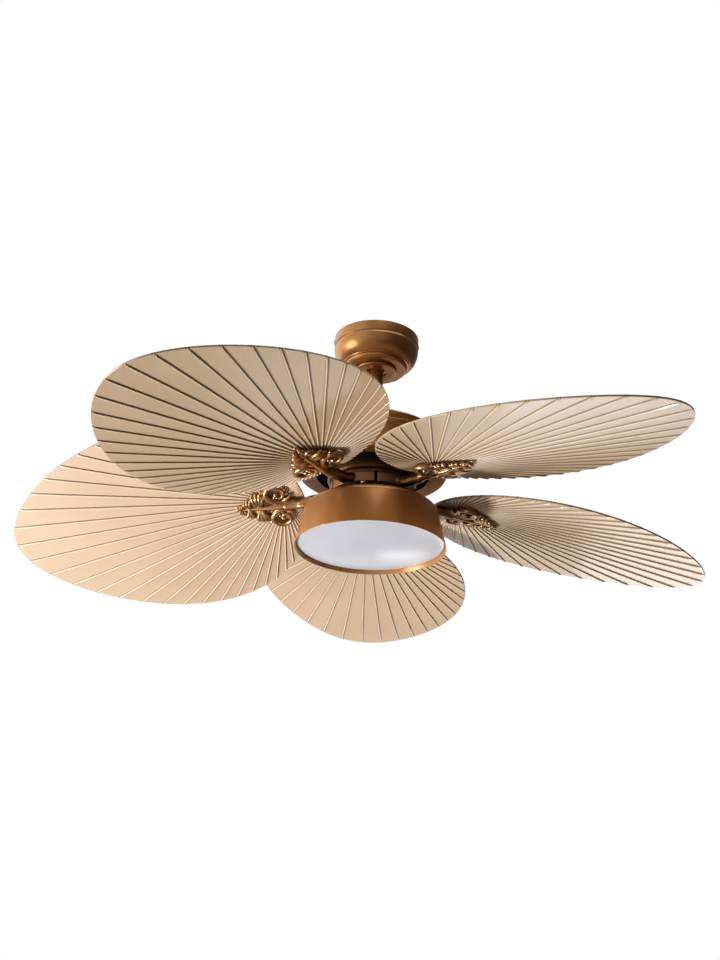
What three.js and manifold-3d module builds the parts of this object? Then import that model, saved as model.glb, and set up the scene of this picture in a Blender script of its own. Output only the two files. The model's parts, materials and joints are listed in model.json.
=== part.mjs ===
// Palm-leaf ceiling fan: five broad ribbed blades on cast acanthus irons, a bronze motor housing on a
// short ball-hung rod, and a drum light below. Millimetres, +Z up. The origin is the middle of the
// bracket's top face, which lies on the ceiling, so every piece of the fan is at or below z = 0.

import * as THREE from "three";
import { mergeVertices } from "three/addons/utils/BufferGeometryUtils.js";
import Module from "manifold-3d";

// ---- Fits shared by all pieces ----
const seat = 0.3; // gap left between two pieces that rest on each other
const running = 0.9; // radial gap between a turning piece and a fixed one
const screwRadius = 2.2; // M4 and M5 fasteners are drawn alike
const screwHeadRadius = 4.6;
const screwHeadHeight = 2.8;
const lowHeadHeight = 1; // canopy screws

// ---- Facets ----
const shellSides = 36; // canopy, housing, drum
const partSides = 24; // parts of the motor
const roundSides = 20; // rod, ball, coupling, bearings
const pinSides = 10;
const holeSides = 6; // screws and their holes

// ---- Hanging hardware at the ceiling ----
const bracketWidth = 40;
const bracketPlate = 3; // sheet thickness of the bracket
const bracketSlotSpacing = 88.9; // outlet-box screw spacing
const bracketSlotRadius = 3;
const bracketSlotLength = 14;
const wireHoleRadius = 8;
const wireHoleOffset = 24;
const cradleWall = 4; // thickness of the cradle plate that holds the ball
const cradleDrop = 6; // middle of the ball to the middle of the cradle plate
const legGap = 5; // ball to each leg of the bracket
const canopyTabHeight = 15;
const canopyScrewDrop = 10; // canopy screws below the ceiling
const ballRadius = 24;
const ballHalfHeight = 16; // the ball is cut flat this far above and below its middle
const ballDrop = 43; // ball centre below the ceiling
const receiverWidth = 40;
const receiverLength = 96;
const receiverHeight = 14;

// ---- Canopy ----
const canopyRadius = 76;
const canopyBand = 18; // straight band at the top of the canopy
const canopyDepth = 62; // ceiling to the canopy's flat bottom
const canopySheet = 1.6;
const canopyGroove = 1.4; // groove under the band
const canopyLipRadius = 60; // lower end of the bowl
const canopyLipHeight = 9;
const canopyBowlTurn = (0.82 * Math.PI) / 2; // the bowl ends short of level
const canopyBottomRadius = 53;
const canopyMouthRadius = 21; // hole that the rod passes through
const canopyCoverRadius = 38;
const canopyCoverHeight = 5;

// ---- Rod and coupling ----
const rodRadius = 13.5;
const rodWall = 2.2;
const rodLength = 129;
const pinRadius = 3;
const ballPinReach = 18; // each end of the ball's pin from the axis
const pinStandout = 3; // coupling's pin beyond the coupling
const pinHeadRadius = 5;
const pinHeadHeight = 2.5;
const couplingRadius = 21;
const couplingLength = 44;
const rodSocketDepth = 22;
const flangeRadius = 38;
const flangeHeight = 4;
const shaftRadius = 8.5;
const shaftBore = 5.5;
const shaftSocketDepth = 16;

// ---- Motor housing ----
const housingPlateRadius = 45; // flat top, where the dome starts
const housingHoleRadius = 22; // around the coupling
const housingMouthRadius = 100; // opening that the rotor turns in
const housingFloorWidth = 11; // flat underside between the opening and the side wall
const housingCrownStandout = 3; // crown band beyond the side wall
const housingRimStandout = 18; // lower rim beyond the side wall
const housingWaistRadius = housingMouthRadius + housingFloorWidth;
const housingTopRadius = housingWaistRadius + housingCrownStandout;
const housingRimRadius = housingWaistRadius + housingRimStandout;
const housingHeight = 96; // flange to the underside of the rim
const housingRimHeight = 10;
const housingRimLap = 6; // rim's flat top inside the wall that stands on it
const housingCrownHeight = 26; // crown bands, from the shoulder down
const housingDomeHeight = 21; // shoulder up to the top plate
const housingDomeBulge = 5; // dome above the straight cone from shoulder to plate
const housingSheet = 2;

// ---- Motor ----
const caseRadius = 78;
const caseWall = 3.5;
const caseHeight = 78;
const caseTopGap = 34; // housing top plate to the rotor case
const coreHeight = 26;
const coreSlots = 12;
const coreSlotWidth = 9;
const coreSlotDepth = 22;
const coreToothTip = 8; // laminations outside the slots
const coilSideInset = 3; // copper in a slot short of each end of it
const windingOverhang = 8; // coil ends beyond each face of the stack
const cageWall = 13.4; // rotor ring inside the case
const airGap = 1.3; // rotor ring to the stator
const cageOuter = caseRadius - caseWall - seat;
const coreRadius = cageOuter - cageWall - airGap; // stator laminations
const bearingRadius = 17.5;
const bearingHeight = 9;

// ---- Flywheel and blade irons ----
const bladeCount = 5;
const padInnerRadius = 62; // curved pads under the flywheel
const padDepth = 12;
const padOuterRadius = padInnerRadius + padDepth;
const flywheelInset = 1; // pads beyond the flywheel
const flywheelLedge = 2; // flywheel beyond the pads, towards the axis
const flywheelRadius = padOuterRadius - flywheelInset;
const flywheelBore = padInnerRadius - flywheelLedge;
const flywheelHeight = 6;
const padHeight = 17.6;
const padGapDegrees = 1.6; // half the seam between two pads
const ironScrewDegrees = 18; // iron screw beside the arm
const armWidth = 20; // oval arm at the pad
const armHeight = 18;
const armTipShare = 0.5; // arm section at the leaf, as a share of the section at the pad
const armDip = 8; // how far the arm swoops below the pad's middle
const armDipShare = 0.42; // where it is lowest, from pad to leaf
const armLeafStart = 4; // arm's first and last points along the leaf
const armLeafEnd = 42;
const leafRoot = 19.1; // leaf ornament, along the blade from the blade's own root
const leafLength = 112;
const leafHalfWidth = 27;
const leafLobes = 4;
const leafThickness = 5;
const leafStandoff = 4; // blade underside to the top of the leaf
const voluteAlong = 47.1;
const voluteAcross = 33;
const voluteRadius = 12;
const voluteDrop = 2; // volutes stand this far below the leaf
const voluteBridge = 16; // width of the metal that joins them to the leaf
const budRadius = 6.5;
const bossRadius = 5.5;
const bossPlaces = [
  [67.1, 20],
  [67.1, -20],
  [99.1, 0],
];

// ---- Blades ----
const bladeRootRadius = 119.1; // fan axis to the root of a blade
const bladeHalfLength = 271.1;
const bladeCentreDrop = 37.7; // flywheel underside to the middle of a blade
const bladeHalfWidth = 202.7;
const bladeEgg = -0.1733; // widens the half nearer the hub
const bladeSquareness = -0.0346;
const bladeSideShift = -9.5; // blade centreline beside the radius that it pitches about
const bladeThickness = 3;
const bladeDroopDegrees = 6.45;
const bladePitchDegrees = [11.7, 24.5, 12.7, 8.3, 9]; // as each iron is set, counterclockwise from +Y
const ribCount = 64;
const ribHeight = 2;
const ribHalfWidth = 3;
const ribSpread = 0.873; // below 1, ribs stand closer at the tip than at the root
const ribCrowding = 0.36; // a rib is at most this share of the angle to the next one, each way
const ribCentre = 39.1; // point that the ribs fan out from, along the blade from its root
const ribCentreSide = 4; // and beside the blade's centreline
const ribStartRadius = 20; // smooth disc around that point

// ---- Drum light ----
const neckGap = 5; // fixed neck to the pads that turn around it
const neckRadius = padInnerRadius - neckGap;
const neckWall = 3;
const neckFlange = 8; // turned-in foot that the drum's plate is screwed to
const neckHeight = 32.7;
const neckTopBelowFlywheel = 3; // the neck stands inside the ring of pads
const shaftNutRadius = 13;
const shaftNutHeight = 5.5;
const shaftTail = 8; // shaft below the neck's top plate
const drumRimRadius = 130.5;
const drumShoulderRadius = 116;
const drumTopRadius = 101;
const drumHeight = 77;
const drumShoulderHeight = 14; // rounded shoulder at the top
const drumSheet = 2;
const drumWireHole = 30;
const drumFlange = 13; // turned-in top of the drum's wall, under its plate
const ledBoardOuter = 96;
const ledBoardInner = 46;
const ledBoardThickness = 1.8;
const driverLength = 58;
const driverWidth = 34;
const driverHeight = 20;
const lensRecess = 7; // rim to the edge of the lens
const lensDome = 4.5;
const lensWall = 2.5;
const lensSkirt = 6;

// ---- Heights that follow from the stack, from the ceiling down ----
const rodTop = -ballDrop + ballHalfHeight;
const rodBottom = rodTop - rodLength;
const couplingPinZ = rodBottom + rodSocketDepth / 2;
const couplingTop = rodBottom + rodSocketDepth;
const couplingBottom = couplingTop - couplingLength;
const housingTop = couplingBottom + flangeHeight + seat; // underside of the housing's top plate
const housingBottom = couplingBottom + flangeHeight - housingHeight;
const caseTop = housingTop - caseTopGap;
const caseBottom = caseTop - caseHeight;
const caseSplit = (caseTop + caseBottom) / 2;
const flywheelTop = caseBottom - seat;
const flywheelBottom = flywheelTop - flywheelHeight;
const padTop = flywheelBottom - seat;
const padBottom = padTop - padHeight;
const neckTop = flywheelBottom - neckTopBelowFlywheel;
const neckBottom = neckTop - neckHeight;
const drumPlateTop = neckBottom - seat;
const drumPlateBottom = drumPlateTop - drumSheet;
const drumTop = drumPlateBottom - seat;
const drumBottom = drumPlateTop - drumHeight;
const shaftBottom = neckTop - neckWall - shaftTail;
const bladeZ = flywheelBottom - bladeCentreDrop;

// ---- Materials ----
function finish(color, roughness, metalness) {
  return new THREE.MeshStandardMaterial({ color, roughness, metalness });
}
const bronze = finish(0x8a5427, 0.42, 0.75);
const castBronze = finish(0x7a4a22, 0.3, 0.85);
const steel = finish(0xb4b6b8, 0.35, 0.9);
const zinc = finish(0x9a9c9e, 0.45, 0.8);
const darkPaint = finish(0x1c1613, 0.4, 0.3);
const aluminium = finish(0xa5a7a9, 0.5, 0.8);
const lamination = finish(0x4a4c50, 0.5, 0.7);
const copper = finish(0xa8582c, 0.35, 0.8);
const palm = finish(0xd9bd95, 0.45, 0);
const opal = finish(0xe9e7ee, 0.3, 0);
const whiteBoard = finish(0xf2f2ee, 0.5, 0);
const blackPlastic = finish(0x222222, 0.6, 0);

// ---- Geometry helpers ----
const wasm = await Module();
wasm.setup();

// A closed three.js geometry as a solid that can be cut and joined.
function solid(geometry) {
  const bare = new THREE.BufferGeometry();
  bare.setAttribute("position", geometry.getAttribute("position"));
  if (geometry.index) bare.setIndex(geometry.index);
  const merged = mergeVertices(bare, 1e-4);
  const faces = merged.index.array;
  const kept = [];
  for (let i = 0; i < faces.length; i += 3) {
    const [a, b, c] = [faces[i], faces[i + 1], faces[i + 2]];
    if (a !== b && b !== c && c !== a) kept.push(a, b, c);
  }
  return new wasm.Manifold(
    new wasm.Mesh({
      numProp: 3,
      vertProperties: new Float32Array(merged.getAttribute("position").array),
      triVerts: new Uint32Array(kept),
    }),
  );
}

function geometryOf(body) {
  const mesh = body.getMesh();
  const geometry = new THREE.BufferGeometry();
  geometry.setAttribute("position", new THREE.BufferAttribute(mesh.vertProperties, 3));
  geometry.setIndex(new THREE.BufferAttribute(mesh.triVerts, 1));
  geometry.computeVertexNormals();
  return geometry;
}

function joined(bodies) {
  return bodies.reduce((sum, body) => sum.add(body));
}

function cut(body, tools) {
  return tools.reduce((rest, tool) => rest.subtract(tool), body);
}

// Turns a profile of [radius, z] points about the Z axis. A profile that starts off the axis is a
// closed ring. Points may run either way round.
function turned(profile, segments) {
  const onAxis = profile[0][0] === 0;
  let area = 0;
  profile.forEach(([r, z], i) => {
    const [nextR, nextZ] = profile[(i + 1) % profile.length];
    area += r * nextZ - nextR * z;
  });
  const ordered = area > 0 ? profile : [...profile].reverse();
  const points = ordered.map(([r, z]) => new THREE.Vector2(r, z));
  if (!onAxis) points.push(points[0].clone());
  return new THREE.LatheGeometry(points, segments).rotateX(Math.PI / 2);
}

function ring(outer, inner, bottom, top, segments) {
  return turned([[inner, bottom], [outer, bottom], [outer, top], [inner, top]], segments);
}

function rod(radius, bottom, top, segments) {
  return turned([[0, bottom], [radius, bottom], [radius, top], [0, top]], segments);
}

function box(width, depth, height, x, y, z) {
  return new THREE.BoxGeometry(width, depth, height).translate(x, y, z);
}

// A cylinder lying along X through (0, 0, z).
function crossRod(radius, length, z, segments) {
  return rod(radius, -length / 2, length / 2, segments).rotateY(Math.PI / 2).translate(0, 0, z);
}

// A pan-head screw standing on z = 0: head above, shank below.
function screw(shankLength, headHeight = screwHeadHeight) {
  return turned(
    [
      [0, -shankLength],
      [screwRadius, -shankLength],
      [screwRadius, 0],
      [screwHeadRadius, 0],
      [screwHeadRadius * 0.8, headHeight],
      [0, headHeight],
    ],
    holeSides,
  );
}

// A closed skin over a row of rings that all have the same number of points.
function loft(rings) {
  const sides = rings[0].length;
  const positions = rings.flat().flatMap((p) => [p.x, p.y, p.z]);
  const faces = [];
  for (let i = 0; i < rings.length - 1; i++) {
    for (let j = 0; j < sides; j++) {
      const a = i * sides + j;
      const b = i * sides + ((j + 1) % sides);
      faces.push(a, b, b + sides, a, b + sides, a + sides);
    }
  }
  const last = (rings.length - 1) * sides;
  for (let j = 1; j < sides - 1; j++) {
    faces.push(0, j + 1, j);
    faces.push(last, last + j, last + j + 1);
  }
  const geometry = new THREE.BufferGeometry();
  geometry.setAttribute("position", new THREE.Float32BufferAttribute(positions, 3));
  geometry.setIndex(faces);
  return geometry;
}

// ---- The fan and its nested groups ----
const fan = new THREE.Group();

function add(name, shape, material, parent = fan) {
  const geometry = shape.isBufferGeometry ? geometryOf(solid(shape)) : geometryOf(shape);
  const mesh = new THREE.Mesh(geometry, material);
  mesh.name = name;
  parent.add(mesh);
  return mesh;
}

// ---- Ceiling bracket, ball and canopy ----
const canopyInside = (canopyRadius - canopySheet) * Math.cos(Math.PI / shellSides) - seat;
const tongueWidth = bracketWidth / 2;
const tabReach = Math.sqrt(canopyInside ** 2 - (tongueWidth / 2) ** 2); // outer face of the canopy tabs
const cradleTop = -ballDrop - cradleDrop + cradleWall / 2;
const cradleBottom = cradleTop - cradleWall;
const legReach = ballRadius + legGap;

// A slot with round ends, standing along Z.
function slotCutter(x, z) {
  const half = bracketSlotLength / 2 - bracketSlotRadius;
  const shape = new THREE.Shape();
  shape.absarc(half, 0, bracketSlotRadius, -Math.PI / 2, Math.PI / 2);
  shape.absarc(-half, 0, bracketSlotRadius, Math.PI / 2, (3 * Math.PI) / 2);
  const options = { depth: 3 * bracketPlate, bevelEnabled: false, curveSegments: 4 };
  return solid(new THREE.ExtrudeGeometry(shape, options).translate(x, 0, z));
}

// The holes on both sides that the canopy's screws pass through, in canopy and bracket.
function canopyScrewHoles() {
  return solid(crossRod(screwRadius + seat, 3 * canopyRadius, -canopyScrewDrop, holeSides));
}

// Folded sheet: top plate with a tongue and tab at each end, two legs and the cradle with its ball seat.
function ceilingBracket() {
  const hatWidth = 2 * (legReach + bracketPlate);
  const pieces = [
    solid(box(2 * tabReach, tongueWidth, bracketPlate, 0, 0, -bracketPlate / 2)),
    solid(box(hatWidth, bracketWidth, bracketPlate, 0, 0, -bracketPlate / 2)),
    solid(box(hatWidth, bracketWidth, cradleWall, 0, 0, (cradleTop + cradleBottom) / 2)),
  ];
  for (const side of [-1, 1]) {
    const tabX = side * (tabReach - bracketPlate / 2);
    const legX = side * (legReach + bracketPlate / 2);
    pieces.push(solid(box(bracketPlate, tongueWidth, canopyTabHeight, tabX, 0, -canopyTabHeight / 2)));
    pieces.push(solid(box(bracketPlate, bracketWidth, -cradleBottom, legX, 0, cradleBottom / 2)));
  }
  const ballSeat = new THREE.SphereGeometry(ballRadius + running, roundSides, 12).translate(0, 0, -ballDrop);
  const cutters = [
    solid(ballSeat),
    slotCutter(bracketSlotSpacing / 2, -2 * bracketPlate),
    slotCutter(-bracketSlotSpacing / 2, -2 * bracketPlate),
    solid(rod(wireHoleRadius, -2 * bracketPlate, bracketPlate, pinSides).translate(wireHoleOffset, 0, 0)),
    canopyScrewHoles(),
  ];
  return cut(joined(pieces), cutters);
}

function hangerBall() {
  const points = [];
  const edge = Math.asin(ballHalfHeight / ballRadius);
  const steps = 5;
  for (let i = 0; i <= steps; i++) {
    const angle = -edge + (2 * edge * i) / steps;
    points.push([ballRadius * Math.cos(angle), -ballDrop + ballRadius * Math.sin(angle)]);
  }
  const bore = rodRadius + seat;
  const top = [bore, -ballDrop + ballHalfHeight];
  const bottom = [bore, -ballDrop - ballHalfHeight];
  const pinHole = solid(crossRod(pinRadius + seat, 3 * ballRadius, -ballDrop, pinSides));
  return cut(solid(turned([bottom, ...points, top], roundSides)), [pinHole]);
}

function downrod() {
  const tube = solid(ring(rodRadius, rodRadius - rodWall, rodBottom, rodTop, roundSides));
  const holes = [-ballDrop, couplingPinZ].map((z) =>
    solid(crossRod(pinRadius + seat, 3 * rodRadius, z, pinSides)),
  );
  return cut(tube, holes);
}

// Outer wall of the canopy, from the ceiling down: straight band, groove, bowl and stepped bottom.
function canopyOuter() {
  const bowlTop = -canopyBand - 2;
  const points = [
    [canopyRadius, 0],
    [canopyRadius, -canopyBand],
    [canopyRadius - canopyGroove, -canopyBand - 1],
    [canopyRadius, bowlTop],
  ];
  const lipZ = -canopyDepth + canopyLipHeight;
  const spanR = (canopyRadius - canopyLipRadius) / (1 - Math.cos(canopyBowlTurn));
  const spanZ = (bowlTop - lipZ) / Math.sin(canopyBowlTurn);
  const steps = 4;
  for (let i = 1; i <= steps; i++) {
    const angle = (canopyBowlTurn * i) / steps;
    points.push([canopyRadius - spanR * (1 - Math.cos(angle)), bowlTop - spanZ * Math.sin(angle)]);
  }
  points.push([canopyLipRadius - 3, lipZ - 1.5], [canopyBottomRadius, -canopyDepth]);
  return points;
}

function canopy() {
  const outer = canopyOuter();
  const inner = outer
    .slice(4)
    .map(([r, z]) => [r - canopySheet, z + canopySheet])
    .reverse();
  const wallTop = [canopyRadius - canopySheet, 0];
  const wallFoot = [canopyRadius - canopySheet, -canopyBand - 3];
  const mouth = [
    [canopyMouthRadius, -canopyDepth],
    [canopyMouthRadius, -canopyDepth + canopySheet],
  ];
  const shell = solid(turned([...outer, ...mouth, ...inner, wallFoot, wallTop], shellSides));
  return cut(shell, [canopyScrewHoles()]);
}

add("ceiling_bracket", ceilingBracket(), zinc);
add("hanger_ball", hangerBall(), blackPlastic);
add("ball_pin", crossRod(pinRadius, 2 * ballPinReach, -ballDrop, pinSides), steel);
add("downrod", downrod(), bronze);
add("canopy", canopy(), bronze);
const coverTop = -canopyDepth - seat;
add(
  "canopy_cover",
  ring(canopyCoverRadius, canopyMouthRadius - 1, coverTop - canopyCoverHeight, coverTop, shellSides),
  bronze,
);
const receiverZ = -bracketPlate - seat - receiverHeight / 2;
add("remote_receiver", box(receiverWidth, receiverLength, receiverHeight, 0, 0, receiverZ), blackPlastic);
[-1, 1].forEach((side, i) => {
  const shank = canopySheet + seat + bracketPlate + 2;
  const mesh = add(`canopy_screw_${i + 1}`, screw(shank, lowHeadHeight), bronze);
  mesh.rotation.y = (side * Math.PI) / 2;
  mesh.position.set(side * (canopyRadius + seat), 0, -canopyScrewDrop);
});

// ---- Coupling, shaft and motor housing ----
function coupling() {
  const body = turned(
    [
      [shaftRadius + seat, couplingBottom],
      [flangeRadius, couplingBottom],
      [flangeRadius, couplingBottom + flangeHeight],
      [couplingRadius, couplingBottom + flangeHeight],
      [couplingRadius, couplingTop - 2],
      [couplingRadius - 2, couplingTop],
      [rodRadius + seat, couplingTop],
      [rodRadius + seat, rodBottom - seat],
      [shaftRadius + seat, rodBottom - seat],
    ],
    roundSides,
  );
  const pinHole = crossRod(pinRadius + seat, 3 * couplingRadius, couplingPinZ, pinSides);
  return cut(solid(body), [solid(pinHole)]);
}

function couplingPin() {
  const shank = crossRod(pinRadius, 2 * (couplingRadius + pinStandout), couplingPinZ, pinSides);
  const head = crossRod(pinHeadRadius, pinHeadHeight, couplingPinZ, pinSides);
  return solid(shank).add(solid(head.translate(couplingRadius + pinHeadHeight, 0, 0)));
}

// Upper shell: top plate on the flange, dome, crown bands and side wall.
function motorHousing() {
  const plateTop = housingTop + housingSheet;
  const shoulder = plateTop - housingDomeHeight;
  const crownFoot = shoulder - housingCrownHeight;
  const wallFoot = housingBottom + housingRimHeight + seat;
  const domeWidth = housingTopRadius - 2 - housingPlateRadius;
  const dome = [];
  const steps = 4;
  for (let i = 0; i <= steps; i++) {
    const share = i / steps;
    const bulge = 4 * housingDomeBulge * share * (1 - share);
    dome.push([housingPlateRadius + domeWidth * share, plateTop - housingDomeHeight * share + bulge]);
  }
  const groove = shoulder - housingCrownHeight / 2;
  const outer = [
    ...dome,
    [housingTopRadius, shoulder - 3],
    [housingTopRadius, groove + 1.5],
    [housingTopRadius - 2.5, groove],
    [housingTopRadius - 0.5, groove - 2],
    [housingTopRadius - 0.5, crownFoot + 2],
    [housingWaistRadius, crownFoot],
    [housingWaistRadius, wallFoot],
  ];
  const inner = [
    [housingWaistRadius - housingSheet, wallFoot],
    [housingWaistRadius - housingSheet, shoulder - 3],
    ...dome
      .slice(0, steps)
      .reverse()
      .map(([r, z]) => [r - housingSheet * 0.7, z - housingSheet]),
  ];
  const hole = [
    [housingHoleRadius, housingTop],
    [housingHoleRadius, plateTop],
  ];
  return turned([...outer, ...inner, ...hole], shellSides);
}

// Lower rim: a flat ring below, with the rotor's opening, and a low rolled wall.
function housingRim() {
  const top = housingBottom + housingRimHeight;
  const lip = housingWaistRadius - housingSheet - housingRimLap;
  return turned(
    [
      [housingMouthRadius, housingBottom],
      [housingRimRadius - 1.5, housingBottom],
      [housingRimRadius, housingBottom + 1.5],
      [housingRimRadius, top - 3],
      [housingRimRadius - 3, top],
      [lip, top],
      [lip, housingBottom + housingSheet],
      [housingMouthRadius, housingBottom + housingSheet],
    ],
    shellSides,
  );
}

add("coupling", coupling(), zinc);
add("coupling_pin", couplingPin(), steel);
add("motor_housing", motorHousing(), bronze);
add("housing_rim", housingRim(), bronze);
const shaftTop = couplingBottom + shaftSocketDepth;
add("motor_shaft", ring(shaftRadius, shaftBore, shaftBottom, shaftTop, roundSides), steel);

// ---- Stator, held by the shaft ----
const coreTop = caseSplit + coreHeight / 2;
const coreBottom = caseSplit - coreHeight / 2;
const slotMiddle = coreRadius - coreToothTip - coreSlotDepth / 2;

function aroundSlots(make) {
  return Array.from({ length: coreSlots }, (_, i) => make((2 * Math.PI * i) / coreSlots));
}

function statorCore() {
  const slots = aroundSlots((angle) =>
    solid(
      box(coreSlotDepth, coreSlotWidth, 2 * coreHeight, slotMiddle, 0, caseSplit).rotateZ(angle),
    ),
  );
  return cut(solid(ring(coreRadius, shaftRadius + seat, coreBottom, coreTop, partSides)), slots);
}

// Both rings of coil ends, joined by the copper that fills the slots.
function statorWinding() {
  const inside = slotMiddle - coreSlotDepth / 2 + seat;
  const outside = slotMiddle + coreSlotDepth / 2 - seat;
  const overhang = coreTop + seat + windingOverhang;
  const coilEnds = [
    solid(ring(outside, inside, coreTop + seat, overhang, partSides)),
    solid(ring(outside, inside, 2 * caseSplit - overhang, coreBottom - seat, partSides)),
  ];
  const sides = aroundSlots((angle) =>
    solid(
      box(
        coreSlotDepth - 2 * coilSideInset,
        coreSlotWidth - 2 * seat,
        coreHeight + windingOverhang,
        slotMiddle,
        0,
        caseSplit,
      ).rotateZ(angle),
    ),
  );
  return joined([...coilEnds, ...sides]);
}

add("stator_core", statorCore(), lamination);
add("stator_winding", statorWinding(), copper);

// ---- Rotor: two case halves, squirrel-cage ring, bearings and flywheel ----
const rotor = new THREE.Group();
fan.add(rotor);

// A cup with its floor at floorZ, its open edge at edgeZ and a seat ring for one bearing.
function caseHalf(floorZ, edgeZ) {
  const up = Math.sign(edgeZ - floorZ);
  const floorTop = floorZ + up * caseWall;
  const hole = shaftRadius + running;
  const seatOuter = bearingRadius + seat + caseWall;
  return turned(
    [
      [hole, floorZ],
      [caseRadius - 3, floorZ],
      [caseRadius, floorZ + up * 3],
      [caseRadius, edgeZ],
      [caseRadius - caseWall, edgeZ],
      [caseRadius - caseWall, floorTop],
      [seatOuter, floorTop],
      [seatOuter, floorTop + up * bearingHeight],
      [bearingRadius + seat, floorTop + up * bearingHeight],
      [bearingRadius + seat, floorTop],
      [hole, floorTop],
    ],
    partSides,
  );
}

function bearing(middleZ) {
  const half = bearingHeight / 2;
  return ring(bearingRadius, shaftRadius + seat, middleZ - half, middleZ + half, roundSides);
}

function ironAzimuth(index) {
  return Math.PI / 2 + (2 * Math.PI * index) / bladeCount;
}

// Where each iron's screw stands, in the iron's own frame.
const padMiddleRadius = (padOuterRadius + padInnerRadius) / 2;
const ironScrewAngle = THREE.MathUtils.degToRad(ironScrewDegrees);
const ironScrewX = padMiddleRadius * Math.cos(ironScrewAngle);
const ironScrewY = padMiddleRadius * Math.sin(ironScrewAngle);

// The hole that each iron's screw passes through, in pad and flywheel.
function ironScrewHole() {
  const hole = rod(screwRadius + seat, padBottom - 1, flywheelTop + 1, holeSides);
  return hole.translate(ironScrewX, ironScrewY, 0);
}

function flywheel() {
  const blank = solid(ring(flywheelRadius, flywheelBore, flywheelBottom, flywheelTop, shellSides));
  const holes = Array.from({ length: bladeCount }, (_, i) =>
    solid(ironScrewHole().rotateZ(ironAzimuth(i))),
  );
  return cut(blank, holes);
}

add("rotor_upper_case", caseHalf(caseTop, caseSplit + seat / 2), darkPaint, rotor);
add("rotor_lower_case", caseHalf(caseBottom, caseSplit - seat / 2), bronze, rotor);
add("upper_bearing", bearing(caseTop - caseWall - seat - bearingHeight / 2), steel, rotor);
add("lower_bearing", bearing(caseBottom + caseWall + seat + bearingHeight / 2), steel, rotor);
add(
  "rotor_cage",
  ring(cageOuter, cageOuter - cageWall, coreBottom - 1, coreTop + 1, partSides),
  aluminium,
  rotor,
);
add("flywheel", flywheel(), bronze, rotor);

// ---- Blades ----
// Point of the blade's outline at the angle t, which is 0 at the tip.
function outlineAt(t) {
  const along = bladeHalfLength * (1 + Math.cos(t));
  const swell = 1 + bladeEgg * Math.cos(t) + bladeSquareness * Math.cos(2 * t);
  return [along, bladeHalfWidth * Math.sin(t) * swell];
}

// Direction of an outline point from the rib centre. It rises without a jump as t goes from -pi, at the
// root, round the tip to pi.
function outlineDirection(t) {
  const [x, y] = outlineAt(t);
  const angle = Math.atan2(y - ribCentreSide, x - ribCentre);
  return t > 0 && angle < -Math.PI / 2 ? angle + 2 * Math.PI : angle;
}

// Where a ray from the rib centre at this angle meets the outline.
function edgeAt(angle) {
  let low = -Math.PI;
  let high = Math.PI;
  const target = angle < outlineDirection(low) ? angle + 2 * Math.PI : angle;
  for (let i = 0; i < 40; i++) {
    const middle = (low + high) / 2;
    if (outlineDirection(middle) < target) low = middle;
    else high = middle;
  }
  return outlineAt((low + high) / 2);
}

function ribAngle(index) {
  const share = (2 * index) / ribCount - 1;
  return Math.PI * (ribSpread * share + (1 - ribSpread) * share ** 3);
}

// Flat top, and an underside of flat panels between low ridges that fan out from the rib centre.
function blade() {
  const top = bladeThickness / 2;
  const bottom = -top;
  const positions = [ribCentre, ribCentreSide, top, ribCentre, ribCentreSide, bottom];
  const perRib = 5;
  for (let k = 0; k < ribCount; k++) {
    const angle = ribAngle(k);
    const [x, y] = edgeAt(angle);
    const reach = Math.hypot(x - ribCentre, y - ribCentreSide);
    const lean = Math.min(ribHalfWidth / reach, ribCrowding * (ribAngle(k + 1) - angle));
    const height = (ribHeight * lean * reach) / ribHalfWidth;
    const [x0, y0] = edgeAt(angle - lean);
    const [x1, y1] = edgeAt(angle + lean);
    positions.push(x, y, top);
    const startX = ribCentre + ribStartRadius * Math.cos(angle);
    positions.push(startX, ribCentreSide + ribStartRadius * Math.sin(angle), bottom);
    positions.push(x0, y0, bottom, x, y, bottom - height, x1, y1, bottom);
  }
  const faces = [];
  for (let k = 0; k < ribCount; k++) {
    const here = 2 + perRib * k;
    const next = 2 + perRib * ((k + 1) % ribCount);
    const [topEdge, start, left, ridge, right] = [0, 1, 2, 3, 4].map((i) => here + i);
    faces.push(0, topEdge, next);
    faces.push(1, next + 1, start);
    faces.push(start, ridge, left, start, right, ridge);
    faces.push(start, next + 2, right, start, next + 1, next + 2);
    faces.push(topEdge, left, ridge, topEdge, ridge, right);
    faces.push(topEdge, right, next, next, right, next + 2);
  }
  const geometry = new THREE.BufferGeometry();
  geometry.setAttribute("position", new THREE.Float32BufferAttribute(positions, 3));
  geometry.setIndex(faces);
  const holes = bossPlaces.map(([x, y]) =>
    solid(rod(screwRadius + seat, bottom - 3, top + 3, holeSides).translate(x, y, 0)),
  );
  return cut(solid(geometry), holes);
}

// ---- Blade irons ----
// Places a shape from the blade's own frame (x outward from its root, z up through the blade) in the
// frame of its iron, where +X is the radius through the iron and z is the fan's own. The blade droops
// and pitches about its middle.
function bladeMatrix(pitchDegrees) {
  const droop = THREE.MathUtils.degToRad(bladeDroopDegrees);
  const pitch = THREE.MathUtils.degToRad(pitchDegrees);
  return new THREE.Matrix4()
    .makeTranslation(bladeRootRadius + bladeHalfLength, 0, bladeZ)
    .multiply(new THREE.Matrix4().makeRotationY(droop))
    .multiply(new THREE.Matrix4().makeRotationX(pitch))
    .multiply(new THREE.Matrix4().makeTranslation(-bladeHalfLength, bladeSideShift, 0));
}

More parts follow.
